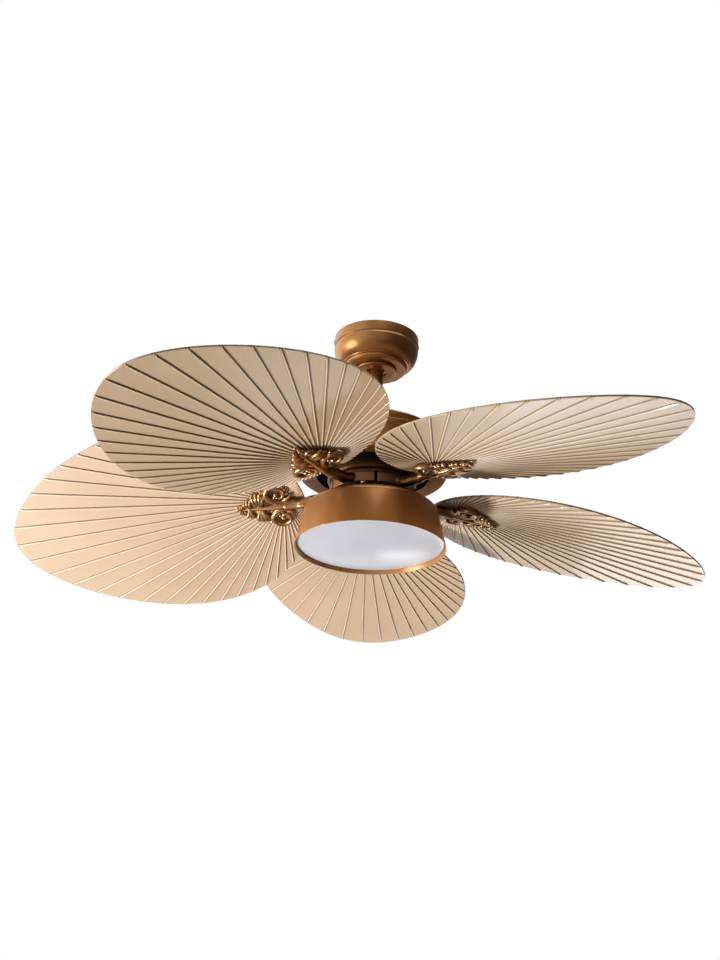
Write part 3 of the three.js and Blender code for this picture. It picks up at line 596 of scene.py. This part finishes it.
# ---- Drum light ----
neck = [
    (8.8, -295),
    (55, -295),
    (57, -297),
    (57, -327.7),
    (46, -327.7),
    (46, -324.7),
    (54, -324.7),
    (54, -298),
    (8.8, -298),
]
piece("neck_cup", lathe("neck_cup", neck, 1.0, 128), "dark_paint", "hanger", ["light_neck"])


def drum_shell():
    shoulder = arc(101, -342, 15, 11.7, 0, 90, 12)
    inner = [(r - 2, min(z, -332.3)) for r, z in shoulder[:-1]]
    profile = [
        (130.5, -405),
        *shoulder,
        (88, -330.3),
        (88, -332.3),
        (99, -332.3),
        *reversed(inner),
        (128.7, -404),
        (128.9, -405),
    ]
    return lathe("drum_shell", profile, 0.5, 220)


def lens_dish():
    edge_r, edge_z, sag, thickness = 126.58, -398, 4.5, 2.5
    shares = np.linspace(0, 1, 13)[:-1]
    dish = [(edge_r * s, edge_z - sag * (1 - s * s)) for s in shares]
    back = [(r, z + thickness) for r, z in reversed(dish[1:])]
    rim = [(edge_r - 1, edge_z - 0.1), (edge_r, edge_z + 1)]
    rim += [(125.2, -392), (122.7, -392), (122.7, -395.6)]
    return lathe("lens_dish", [*dish, *rim, *back, (0, edge_z - sag + thickness)], 0.8, 200)


# The drum takes the paler copy of the bronze: painted light.
piece("drum_shell", drum_shell(), "antique_bronze", "hanger", ["drum"], finish=DRUM_BRONZE_PAINTED_LIGHT)
plate = lathe("drum_top_plate", [(30, -330), (101, -330), (101, -328), (30, -328)], 0.5, 160)
piece("drum_top_plate", plate, "antique_bronze", "hanger", ["drum_plate"])
piece("lens_dish", lens_dish(), "opal_lens", "hanger", ["lens"], sharp_degrees=60)


# ---- Blades ----
BLADES = 5
BLADE_MIDDLE = (390.2, 0, -329.7)
DROOP = 6.45
PITCHES = [11.7, 24.5, 12.7, 8.3, 9]
SIDE_SHIFT = (0, -9.5, 0)
BLADE_SCREWS = ((-204, 20), (-204, -20), (-172, 0))
HALF_LENGTH = 271.1
HALF_WIDTH = 202.7
EGG_TAPER = 0.1733
EGG_SHOULDER = 0.0346
HALF_THICKNESS = 1.5
RIBS = 64
RIB_CENTRE = -232.0
RIB_CENTRE_SIDE = 4.0
RIB_EVENNESS = 0.873  # the cubic rest spreads the ribs near the root
RIB_SPREAD = 0.127
RIB_HALF_WIDTH = 2.1
RIB_HALF_SHARE = 0.36  # a rib's half width, at most, as a share of the way to the next rib
RIB_FOOT = 1.3  # where a rib's foot ends, in half widths
RIB_HEIGHT = 2.4
TOP_RELIEF = 0.4  # height of a rib on the upper face, as a share of that below
RIM_RELIEF = 0.15  # height of a rib where it meets the rim, as a share of the rest
RIM_ROUNDING = 0.4
RIM_MARGIN = 0.9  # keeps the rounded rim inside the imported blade
STATIONS = (0.05, 0.12, 0.22, 0.35, 0.5, 0.7, 0.88, 0.982, 1.0)  # shares of the way to the edge
ROOT_PANEL = [(-265.2, 48.0), (-268.3, 33.0), (-269.4, 17.8), (-259.4, 19.2), (-246.6, 42.5)]
ROOT_PANEL_LEVEL = 3.5
ROOT_PANEL_BORDER = 0.9
LEAF_UV = (0.004, 9)  # along a rib and across the ribs: the fibres are long and thin


def azimuth(index):
    return math.pi / 2 + 2 * math.pi * index / BLADES


def iron_matrix(index):
    return Matrix.Rotation(azimuth(index), 4, "Z")


def blade_matrix(index):
    """Places a blade, drawn about its own middle with +X outward, in the fan. Millimetres."""
    return (
        iron_matrix(index)
        @ Matrix.Translation(BLADE_MIDDLE)
        @ Matrix.Rotation(math.radians(DROOP), 4, "Y")
        @ Matrix.Rotation(math.radians(PITCHES[index]), 4, "X")
        @ Matrix.Translation(SIDE_SHIFT)
    )


def edge_distances(angles):
    """How far the outline is from the rib centre, along each angle, less the rim's margin."""
    t = np.linspace(-math.pi, math.pi, 8001)
    swell = 1 - EGG_TAPER * np.cos(t) - EGG_SHOULDER * np.cos(2 * t)
    x = HALF_LENGTH * np.cos(t) - RIB_CENTRE
    y = HALF_WIDTH * np.sin(t) * swell - RIB_CENTRE_SIDE
    direction = np.unwrap(np.arctan2(y, x))
    turned = (np.asarray(angles) - direction[0]) % (2 * math.pi) + direction[0]
    return np.interp(turned, direction, np.hypot(x, y)) - RIM_MARGIN


def rib_angle(k):
    """Angle of a rib from the blade's outward axis."""
    share = 2 * k / RIBS - 1
    return math.pi * (RIB_EVENNESS * share + RIB_SPREAD * share**3)


def blade_table():
    """The blade's face by column and station, as rows of (x, y, lift, crease, r, angle).

    Each column runs from the rib centre to the edge. It lies beside its rib, in half widths of
    the rib and with a lift and a crease there, or is a share of the way to the next rib's foot.
    """
    across = [(-RIB_FOOT, 0, 0), (-1.0, 0.0, 1), (-0.42, 0.92, 0), (0, 1, 0)]
    across += [(0.42, 0.92, 0), (1.0, 0.0, 1), (RIB_FOOT, 0, 0)]
    columns = []
    for k in range(RIBS):
        here, ahead = rib_angle(k), rib_angle(k + 1)
        columns += [("rib", here, ahead - here, *spot) for spot in across]
        columns += [("panel", here, ahead - here, share) for share in (0.25, 0.5, 0.75)]
    table = np.zeros((len(columns), len(STATIONS), 6))
    for c, (kind, here, gap, spot, *rest) in enumerate(columns):
        base = here if kind == "rib" else here + gap * spot
        reach = float(edge_distances(base))
        for s, station in enumerate(STATIONS):
            r = reach * station
            half = min(RIB_HALF_WIDTH, RIB_HALF_SHARE * r * gap)
            angle, lift, crease = base, 0.0, 0.0
            if kind == "rib":
                angle = here + spot * half / r
                relief = RIM_RELIEF if station == 1.0 else 1.0
                lift = rest[0] * half / RIB_HALF_WIDTH * relief
                crease = rest[1]
                r = float(edge_distances(angle)) * station
            else:
                margin = RIB_FOOT * half / r
                angle = here + margin + (gap - 2 * margin) * spot
                r = float(edge_distances(angle)) * station
            x = RIB_CENTRE + r * math.cos(angle)
            y = RIB_CENTRE_SIDE + r * math.sin(angle)
            table[c, s] = (x, y, lift, crease, r, angle)
    return table


def root_panel(add):
    """Flat panel over the ribs' ends at the root, on the underside, with painted shade on its border,
    from the crease mark.
    """
    middle = np.mean(ROOT_PANEL, axis=0)
    rings = []
    for inset, z, crease in (
        (0.0, -1.0, 1.0),
        (0.0, -ROOT_PANEL_LEVEL + 0.4, 1.0),
        (ROOT_PANEL_BORDER, -ROOT_PANEL_LEVEL, 0.0),
    ):
        ring = []
        for x, y in ROOT_PANEL:
            inward = middle - (x, y)
            inward *= inset / np.linalg.norm(inward)
            ring.append(add(x + inward[0], y + inward[1], z, 0.0, crease, 40.0, 2.0))
        rings.append(ring)
    faces = []
    corners = len(ROOT_PANEL)
    for outer, inner in zip(rings, rings[1:]):
        for i in range(corners):
            k = (i + 1) % corners
            faces.append((outer[i], inner[i], inner[k], outer[k]))
    return [*faces, tuple(rings[0]), tuple(reversed(rings[-1]))]


def blade_mesh(name):
    """Thin leaf with rounded ribs on both faces that fan out from one point."""
    table = blade_table()
    count, rows = table.shape[:2]
    points, crest, crease_shade_marks, leaf = [], [], [], []

    def add(x, y, z, lift=0.0, crease=0.0, r=0.0, angle=0.0):
        """Adds a point and what the finish reads there: crest, crease (where it paints shade) and
        place along the rib.
        """
        points.append((x, y, z))
        crest.append(lift)
        crease_shade_marks.append(crease)
        leaf.append((r * LEAF_UV[0], angle * LEAF_UV[1]))
        return len(points) - 1

    under, over, rim = [], [], []
    for c in range(count):
        low, high = [], []
        for s in range(rows):
            x, y, lift, crease, r, angle = table[c, s]
            marks = (lift, crease, r, angle)
            low.append(add(x, y, -HALF_THICKNESS - RIB_HEIGHT * lift, *marks))
            high.append(add(x, y, HALF_THICKNESS + TOP_RELIEF * RIB_HEIGHT * lift, *marks))
        out = RIM_ROUNDING / r
        out_x, out_y = x + (x - RIB_CENTRE) * out, y + (y - RIB_CENTRE_SIDE) * out
        rim.append(add(out_x, out_y, -RIB_HEIGHT * lift * 0.5, lift, crease, r, angle))
        under.append(low)
        over.append(high)
    middle_low = add(RIB_CENTRE, RIB_CENTRE_SIDE, -HALF_THICKNESS)
    middle_high = add(RIB_CENTRE, RIB_CENTRE_SIDE, HALF_THICKNESS)
    faces = []
    for c in range(count):
        d = (c + 1) % count
        faces.append((middle_low, under[d][0], under[c][0]))
        faces.append((middle_high, over[c][0], over[d][0]))
        for s in range(rows - 1):
            faces.append((under[c][s], under[d][s], under[d][s + 1], under[c][s + 1]))
            faces.append((over[c][s], over[c][s + 1], over[d][s + 1], over[d][s]))
        faces.append((under[c][-1], under[d][-1], rim[d], rim[c]))
        faces.append((rim[c], rim[d], over[d][-1], over[c][-1]))
    faces += root_panel(add)
    mesh = mesh_from(name, points, faces)
    for label, values in (("crest", crest), ("crease", crease_shade_marks)):
        layer = mesh.attributes.new(label, "FLOAT", "POINT")
        layer.data.foreach_set("value", np.array(values, np.float32))
    uv = mesh.uv_layers.new(name="leaf")
    loops = np.zeros(len(mesh.loops), np.int32)
    mesh.loops.foreach_get("vertex_index", loops)
    uv.data.foreach_set("uv", np.array(leaf, np.float32)[loops].ravel())
    return mesh


leaf_shape = blade_mesh("leaf")
for i in range(BLADES):
    mesh = leaf_shape.copy()
    mesh.name = f"leaf_{i + 1}"
    mesh.transform(Matrix.Scale(MM, 4) @ blade_matrix(i))
    piece(f"leaf_{i + 1}", mesh, "palm_blade", "rotor", [f"blade_{i + 1}"], sharp_degrees=38)


# ---- Blade irons ----
ORNAMENT_TOP = -1.5  # the blade's underside, which the ornament is pressed up against
ORNAMENT_RELIEF = 0.86
LOBE_LEVEL = -8  # the lobes are flattened towards it
LOBE_RELIEF = 0.9
LINE_RADIUS = 0.95
LINE_OFFSET = 0.95  # of a raised line below its strand's middle, as a share of the strand's radius
PAD_MIDDLE = (68, -301.1)
PAD_GAP = 1.6  # degrees on each side of a pad
PAD_END = 0.94  # size of the pad's end faces, for a soft edge
WELD_VOXEL = 0.9
WELD_FACES_KEPT = 0.5


def tube(path, radii, sides=14, flat=1.0, up=(0, 0, 1)):
    """A closed tube along a path, with a radius at each point and its height times flat."""
    path = [Vector(p) for p in path]
    points = []
    for i, middle in enumerate(path):
        along = (path[min(i + 1, len(path) - 1)] - path[max(i - 1, 0)]).normalized()
        across = along.cross(Vector(up))
        if across.length < 1e-4:
            across = along.cross(Vector((1, 0, 0)))
        across.normalize()
        lift = across.cross(along).normalized()
        for j in range(sides):
            angle = 2 * math.pi * j / sides
            side = across * math.cos(angle) + lift * math.sin(angle) * flat
            points.append(middle + side * radii[i])
    faces = wall_faces(len(path), sides)
    faces.append(tuple(reversed(range(sides))))
    faces.append(tuple(range((len(path) - 1) * sides, len(path) * sides)))
    return points, faces


def smooth_path(knots, steps):
    """Catmull-Rom curve through knots of any dimension."""
    knots = [np.array(k, float) for k in knots]
    padded = [2 * knots[0] - knots[1], *knots, 2 * knots[-1] - knots[-2]]
    made = []
    for i in range(steps + 1):
        t = i / steps * (len(knots) - 1)
        n = min(int(t), len(knots) - 2)
        f = t - n
        a, b, c, d = padded[n : n + 4]
        made.append(
            0.5
            * (
                2 * b
                + (c - a) * f
                + (2 * a - 5 * b + 4 * c - d) * f**2
                + (3 * b - a - 3 * c + d) * f**3
            )
        )
    return made


def stroke(knots, steps=18, sides=12, flat=1.0):
    """A tube through knots of (x, y, z, radius)."""
    rows = smooth_path(knots, steps)
    return tube([r[:3] for r in rows], [max(r[3], 0.3) for r in rows], sides, flat)


def knob(x, y, z, radius, height=None):
    """A ball, as a short closed tube."""
    height = height or radius
    angles = np.linspace(-math.pi / 2, math.pi / 2, 10)
    path = [(x, y, z + height * math.sin(a)) for a in angles]
    return tube(path, [max(radius * math.cos(a), 0.05) for a in angles], 14, up=(1, 0, 0))


def leaf_axis(x):
    """Sideways place of the ornament's axis, which leads from the arm past the rib centre."""
    return 2 + 0.045 * (x + 262)


def acanthus():
    """Strokes of the leaf ornament under a blade's root, in the blade's own frame."""
    parts = []

    def add(knots, steps=18, sides=12, flat=1.0):
        placed = [
            (x, y + leaf_axis(x), ORNAMENT_TOP + (z - ORNAMENT_TOP) * ORNAMENT_RELIEF, r)
            for x, y, z, r in knots
        ]
        parts.append(stroke(placed, steps, sides, flat))

    def flattened(knots):
        return [(x, y, LOBE_LEVEL + (z - LOBE_LEVEL) * LOBE_RELIEF, r) for x, y, z, r in knots]

    # stalk and midrib, with a fine raised line along it
    spine = [(-262, 0, -10.5, 8.2), (-244, 0, -11.5, 7.2), (-222, 0, -12, 6.0)]
    spine += [(-200, 0, -11.5, 4.8), (-178, 0, -10, 3.4)]
    spine += [(-160, 0, -8.4, 2.2), (-143, 0, -6.6, 0.8)]
    add(spine, 40, 16)
    add([(x, y, z - r * LINE_OFFSET, LINE_RADIUS) for x, y, z, r in spine[:-1]], 40, 8)
    for side in (-1, 1):
        # web that joins the lobes
        web = [(-226, 9, -6.5, 5), (-206, 12, -6.8, 10), (-189, 13, -7, 13)]
        web += [(-174, 8, -6.8, 9), (-158, 3, -6.2, 4)]
        add([(x, side * y, z, r) for x, y, z, r in web], 24, 18, 0.26)
        # lobes of the leaf: fingers spread from the midrib, arch and turn back at their tips
        lobes = (
            (-187, 1.0, ((-203, 27), (-197.5, 31), (-190, 32), (-182, 29.5))),
            (-169, 0.72, ((-177, 20), (-171, 20.5), (-165, 17.5))),
            (-155, 0.5, ((-161, 11.5), (-156, 10.5), (-151, 7.5))),
        )
        for root, size, tips in lobes:
            for tip_x, tip_y in tips:
                finger = [
                    (root - 6 * size, 2.5, -9.6, 2.6 * size),
                    (0.62 * root + 0.38 * tip_x, tip_y * 0.36, -11.8 - 1.2 * size, 3.5 * size),
                    (0.22 * root + 0.78 * tip_x + 1, tip_y * 0.72, -12.2 - 2.2 * size, 3.9 * size),
                    (tip_x + 0.5, tip_y - 1, -11.2, 3.3 * size),
                    (tip_x - 2.5 * size, tip_y, -7.8, 1.5 * size),
                ]
                add([(x, side * y, z, r) for x, y, z, r in flattened(finger)], 16, 14)
        # pointed end
        for x, out in ((-151, 4.2), (-146, 2.2)):
            point = [(x - 8, 0.8, -7.6, 1.7), (x, out * 0.8, -7.6, 1.5), (x + 4, out, -6.6, 0.5)]
            add([(x, side * y, z, r) for x, y, z, r in point], 8, 8)
        # volute: a band that leaves the stem, swings out towards the tip and rolls in around a bud
        scroll = [
            (-256, 5, -9.5, 3.4),
            (-240, 7, -10.5, 4.6),
            (-223, 9.5, -11, 5.6),
            (-211.5, 16.5, -11.4, 5.8),
            (-206.8, 27, -11.4, 5.4),
            (-209.5, 37, -11.2, 5.0),
            (-217, 43, -11, 4.7),
            (-227, 43, -11, 4.4),
            (-235, 37, -11.2, 4.1),
            (-237.6, 29, -11.6, 3.7),
            (-235, 21.5, -12.2, 3.3),
            (-229.5, 19.2, -12.8, 3.0),
            (-224.5, 21.5, -13.2, 2.6),
        ]
        add([(x, side * y, z, r) for x, y, z, r in scroll], 72, 14)
        parts.append(knob(-224.5, side * 27 + leaf_axis(-224.5), -10.5, 4.6, 5.2))
        parts.append(knob(-220.5, side * 21.5 + leaf_axis(-220.5), -10, 3.1, 3.8))
        # leaf that sprouts from the scroll's inner side towards the arm
        sprout = [(-234, 12, -11, 3.0), (-240, 14.5, -12, 4.2)]
        sprout += [(-246.5, 19, -11.5, 2.6), (-251, 22.5, -10.4, 0.6)]
        add([(x, side * y, z, r) for x, y, z, r in sprout], 14, 12, 0.8)
        # thorn on its other side, towards the tip
        thorn = [(-204, 33, -10, 3.2), (-199.5, 36.5, -10, 2.4), (-196.5, 40, -9.2, 0.6)]
        add([(x, side * y, z, r) for x, y, z, r in thorn], 8, 10)
    # posts that the blade's screws go into
    for x, y in BLADE_SCREWS:
        parts.append(tube([(x, y, -8), (x, y, -1.8)], [5.5, 5.5], 20, up=(1, 0, 0)))
    return parts


def arm_strokes(index):
    """The arm from the pad's middle to the ornament, in the iron's frame, and its raised line."""
    place = iron_matrix(index).inverted() @ blade_matrix(index)
    start = place @ Vector((-256, leaf_axis(-256), -10.8))
    inside = place @ Vector((-234, leaf_axis(-234), -11.5))
    bend = (112, start.y * 0.4, -310.5)
    between = start.lerp(Vector(bend), 0.4)
    knots = [
        (66, 0, -301, 9.0),
        (74, 0, -302, 9.4),
        (92, start.y * 0.1, -308, 10.2),
        (*bend, 9.6),
        (between.x, between.y, between.z - 1.5, 9.0),
        (*start, 8.2),
        (*inside, 6.4),
    ]
    line = [(x, y, z - r * LINE_OFFSET, 1.0) for x, y, z, r in knots[1:]]
    flare = [(66, 0, -301, 11), (73, 0, -301, 11), (80, 0, -302.5, 9.5), (88, 0, -306, 8)]
    return [stroke(knots, 44, 18), stroke(line, 40, 8), stroke(flare, 12, 18, 0.72)]


def pad_points():
    """Curved pad with rounded edges, in the iron's frame."""
    half = math.pi / BLADES - math.radians(PAD_GAP)
    middle_r, middle_z = PAD_MIDDLE
    section = [(62, -309.9), (74, -309.9), (74, -292.3), (62, -292.3)]
    rows = filleted(section, 1.6, 3)
    steps = 28
    points, faces = [], []
    for i in range(steps + 1):
        share = i / steps * 2 - 1
        size = 1.0 if abs(share) < 1 else PAD_END
        angle = half * share
        for r, z in rows:
            r = middle_r + (r - middle_r) * size
            z = middle_z + (z - middle_z) * size
            points.append((r * math.cos(angle), r * math.sin(angle), z))
    count = len(rows)
    for i in range(steps):
        for j in range(count):
            k = (j + 1) % count
            faces.append((i * count + j, (i + 1) * count + j, (i + 1) * count + k, i * count + k))
    faces.append(tuple(range(count)))
    faces.append(tuple(reversed(range(steps * count, (steps + 1) * count))))
    return points, faces


def welded(name, parts):
    """Closed parts, in millimetres, that pass through each other, as one smooth casting."""
    points, faces = [], []
    for part_points, part_faces in parts:
        shift = len(points)
        points += [Vector(p) * MM for p in part_points]
        faces += [tuple(v + shift for v in face) for face in part_faces]
    build = bmesh.new()
    mesh = mesh_from(name, points, faces)
    build.from_mesh(mesh)
    bmesh.ops.recalc_face_normals(build, faces=build.faces)
    build.to_mesh(mesh)
    build.free()
    block = linked(name, mesh)
    weld = block.modifiers.new("weld", "REMESH")
    weld.mode = "VOXEL"
    weld.voxel_size = WELD_VOXEL * MM
    soften = block.modifiers.new("soften", "SMOOTH")
    soften.factor = 0.5
    soften.iterations = 2
    thin = block.modifiers.new("thin", "DECIMATE")
    thin.ratio = WELD_FACES_KEPT
    shape = block.evaluated_get(bpy.context.evaluated_depsgraph_get())
    result = bpy.data.meshes.new_from_object(shape)
    bpy.data.objects.remove(block)
    result.name = name
    return result


def moved(parts, matrix):
    """The same parts where the matrix takes them."""
    return [([matrix @ Vector(p) for p in points], faces) for points, faces in parts]


ornament_parts = acanthus()
for i in range(BLADES):
    leaf_parts = moved(ornament_parts, blade_matrix(i))
    arm_parts = moved([*arm_strokes(i), pad_points()], iron_matrix(i))
    casting = welded(f"iron_{i + 1}", leaf_parts + arm_parts)
    node = f"blade_iron_{i + 1}"
    piece(f"iron_{i + 1}", casting, "cast_bronze", "rotor", [node], sharp_degrees=180)


# ---- Screws ----
PAD_SCREW = (68, 0, -310.2)
PAD_SCREW_ANGLE = 18  # from the arm
CANOPY_SCREW = (76.3, -10)
BLADE_SCREW_LIFT = 0.3
SHANK_RADIUS = 2.2
HEAD_DOME = ((4.6, 0), (4.5, 0.32), (4.1, 0.68), (3.3, 0.91), (2.3, 1))  # radius, share of height
RECESS_REACH = 1.9
RECESS_WAIST = 0.75
RECESS_FLOOR = 0.7  # its size, as a share of the edge's


def screw_mesh(name, length, head):
    """Pan-head screw whose head stands on z = 0, with a cross recess. Millimetres."""
    sides = 24
    rows = [(SHANK_RADIUS, -length), (SHANK_RADIUS, 0)]
    rows += [(r, share * head) for r, share in HEAD_DOME]
    points = [point for r, z in rows for point in circle(r, z, sides)]
    faces = wall_faces(len(rows), sides)
    faces.append(tuple(reversed(range(sides))))
    top = (len(rows) - 1) * sides
    # cross recess: its edge reaches out in four directions, and its floor is half way down
    ring, floor = [], []
    for x, y, z in circle(1, head, sides):
        r = RECESS_REACH if max(abs(x), abs(y)) > 0.97 else RECESS_WAIST
        ring.append(len(points))
        points.append((r * x, r * y, z))
    for place in ring:
        x, y, z = points[place]
        floor.append(len(points))
        points.append((x * RECESS_FLOOR, y * RECESS_FLOOR, z * 0.5))
    centre = len(points)
    points.append((0, 0, head * 0.46))
    for j in range(sides):
        k = (j + 1) % sides
        faces.append((top + j, top + k, ring[k], ring[j]))
        faces.append((ring[j], ring[k], floor[k], floor[j]))
        faces.append((floor[j], floor[k], centre))
    mesh = mesh_from(name, points, faces)
    mesh.transform(Matrix.Scale(MM, 4))
    return mesh


def place_screw(name, node, matrix, length, slot, body, head=2.8):
    """Puts a screw where the matrix says, in place of a packed one."""
    mesh = screw_mesh(name, length, head)
    shift = matrix.copy()
    shift.translation = shift.translation * MM
    mesh.transform(shift)
    piece(name, mesh, slot, body, [node], sharp_degrees=32)


for i in range(BLADES):
    spot = Matrix.Rotation(math.radians(PAD_SCREW_ANGLE), 4, "Z") @ Vector(PAD_SCREW)
    where = iron_matrix(i) @ Matrix.Translation(spot) @ Matrix.Rotation(math.pi, 4, "X")
    place_screw(f"pad_screw_{i + 1}", f"iron_screw_{i + 1}", where, 23.9, "steel", "rotor")
    for letter, (x, y) in zip("abc", BLADE_SCREWS):
        where = blade_matrix(i) @ Matrix.Translation((x, y, HALF_THICKNESS + BLADE_SCREW_LIFT))
        name, node = f"leaf_screw_{i + 1}{letter}", f"blade_screw_{i + 1}{letter}"
        place_screw(name, node, where, 10, "cast_bronze", "rotor")
for number, side in ((1, -1), (2, 1)):
    where = Matrix.Translation((side * CANOPY_SCREW[0], 0, CANOPY_SCREW[1]))
    where = where @ Matrix.Rotation(side * math.pi / 2, 4, "Y")
    name, node = f"canopy_pan_screw_{number}", f"canopy_screw_{number}"
    place_screw(name, node, where, 6.9, "antique_bronze", "bracket", 1.0)


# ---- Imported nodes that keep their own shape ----
shown = {row["node"]: row["material_slot"] for row in frame["record"]["subparts"]}
for node, thing in frame["nodes"].items():
    thing.data.materials.clear()
    thing.data.materials.append(FINISHES[shown[node]])


# ---- Floor, world and lamps ----
FLOOR_LEVEL = -2.7
FLOOR_HALF = 7.0
FLOOR_BRIGHTNESS = 0.6  # added where the camera sees the floor itself
SKY = (1.0, 0.84, 0.68)
FAN_MIDDLE = (0, 0, -0.33)
# name, place, target, size, power, colour
LAMPS = (
    ("key_left", (-1.86, 0.26, -2.41), FAN_MIDDLE, (0.4, 0.4), 81, (0.95, 1.0, 1.06)),
    ("soft_left", (-2.25, -0.45, -0.62), (0, 0, -0.2), (1.0, 1.0), 32, (1, 1, 1)),
    ("fill_below", (-0.7, -1.0, -2.6), FAN_MIDDLE, (0.9, 0.9), 4, (1.0, 0.88, 0.72)),
    ("sheen_right", (1.21, 2.59, -1.26), FAN_MIDDLE, (1.0, 1.2), 12, (1, 1, 1)),
    ("lens_glint", (0.44, 2.85, -1.33), (0, 0, -0.4), (0.26, 0.09), 0.4, (1, 1, 1)),
    ("patch", (0.83, 3.0, -2.15), (-0.2, -0.4, -0.3), (0.5, 0.45), 1.3, (1, 1, 1)),
    ("top", (0.3, -0.4, 1.9), (0, 0, -1.5), (2.4, 2.4), 36, (1, 1, 1)),
)


def floor():
    """Pale to the camera. It throws little light on the fan, whose gloss sees its left glow."""
    corners = ((-1, -1), (1, -1), (1, 1), (-1, 1))
    points = [(x * FLOOR_HALF, y * FLOOR_HALF, FLOOR_LEVEL) for x, y in corners]
    mesh = mesh_from("floor", points, [(0, 1, 2, 3)])
    made = Finish("floor_paint", 0.7)
    pale = made.shades(made.noise(2, 2), (0.80, 0.80, 0.80), (0.84, 0.84, 0.84))
    rays = made.node("ShaderNodeLightPath").outputs
    seen = rays["Is Camera Ray"]
    made.drive("Base Color", made.blend(seen, (0.25, 0.2, 0.155), pale))
    glow = made.faded(made.axes(made.place)["X"], (-0.5, 0.3), (0.5, 0.0))
    mirrored = made.calculate("MULTIPLY", glow, rays["Is Glossy Ray"])
    shown = made.calculate("MULTIPLY", seen, FLOOR_BRIGHTNESS)
    made.shader.inputs["Emission Color"].default_value = (1, 1, 1, 1)
    made.drive("Emission Strength", made.calculate("ADD", shown, mirrored))
    mesh.materials.append(made.material)
    thing = linked("floor", mesh)
    thing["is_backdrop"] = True


def world():
    """White to the camera. The fan's gloss shows a sky that dims in front, to the right and below,
    and is brighter far left. Its matt sides get a dim warm light, stronger on the left.
    """
    made = bpy.data.worlds.new("studio")
    made.use_nodes = True
    nodes = Nodes(made.node_tree)
    nodes.tree.nodes.clear()
    direction = nodes.axes(nodes.node("ShaderNodeTexCoord").outputs["Generated"])

    def shade(axis, span, values):
        return nodes.faded(direction[axis], span, values)

    def background(strength, color=(1, 1, 1)):
        made = nodes.node("ShaderNodeBackground")
        nodes.feed(color, made.inputs["Color"])
        nodes.feed(strength, made.inputs["Strength"])
        return made.outputs["Background"]

    def mixed(share, first, second):
        made = nodes.node("ShaderNodeMixShader")
        for socket, source in zip(made.inputs, (share, first, second)):
            nodes.feed(source, socket)
        return made.outputs["Shader"]

    rays = nodes.node("ShaderNodeLightPath").outputs
    diffuse = background(shade("X", (-0.9, 0.9), (0.17, 0.055)), SKY)
    mirrored = shade("Y", (-0.3, 0.4), (0.6, 1.0))
    for axis, span, values in (
        ("X", (0.0, 0.7), (1.0, 0.12)),
        ("Z", (-0.4, -0.12), (0.15, 1.0)),
        ("X", (-0.7, -0.2), (2.0, 1.0)),
    ):
        mirrored = nodes.calculate("MULTIPLY", mirrored, shade(axis, span, values))
    seen = nodes.calculate("MAXIMUM", rays["Is Camera Ray"], rays["Is Transmission Ray"])
    lit = mixed(rays["Is Glossy Ray"], diffuse, background(mirrored))
    output = nodes.node("ShaderNodeOutputWorld").inputs["Surface"]
    nodes.feed(mixed(seen, lit, background(1.0)), output)
    bpy.context.scene.world = made


def lamp(name, place, target, size, power, color):
    data = bpy.data.lights.new(name, "AREA")
    data.shape = "RECTANGLE"
    data.size, data.size_y = size
    data.energy = power
    data.color = color
    made = linked(name, data)
    made.location = place
    made.rotation_euler = (Vector(target) - Vector(place)).to_track_quat("-Z", "Y").to_euler()
    made.visible_camera = False


bpy.context.scene.view_settings.view_transform = "Standard"
floor()
world()
for row in LAMPS:
    lamp(*row)

plain = [[[float(v) for v in corner] for corner in bounds] for bounds in (cad_bounds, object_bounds())]
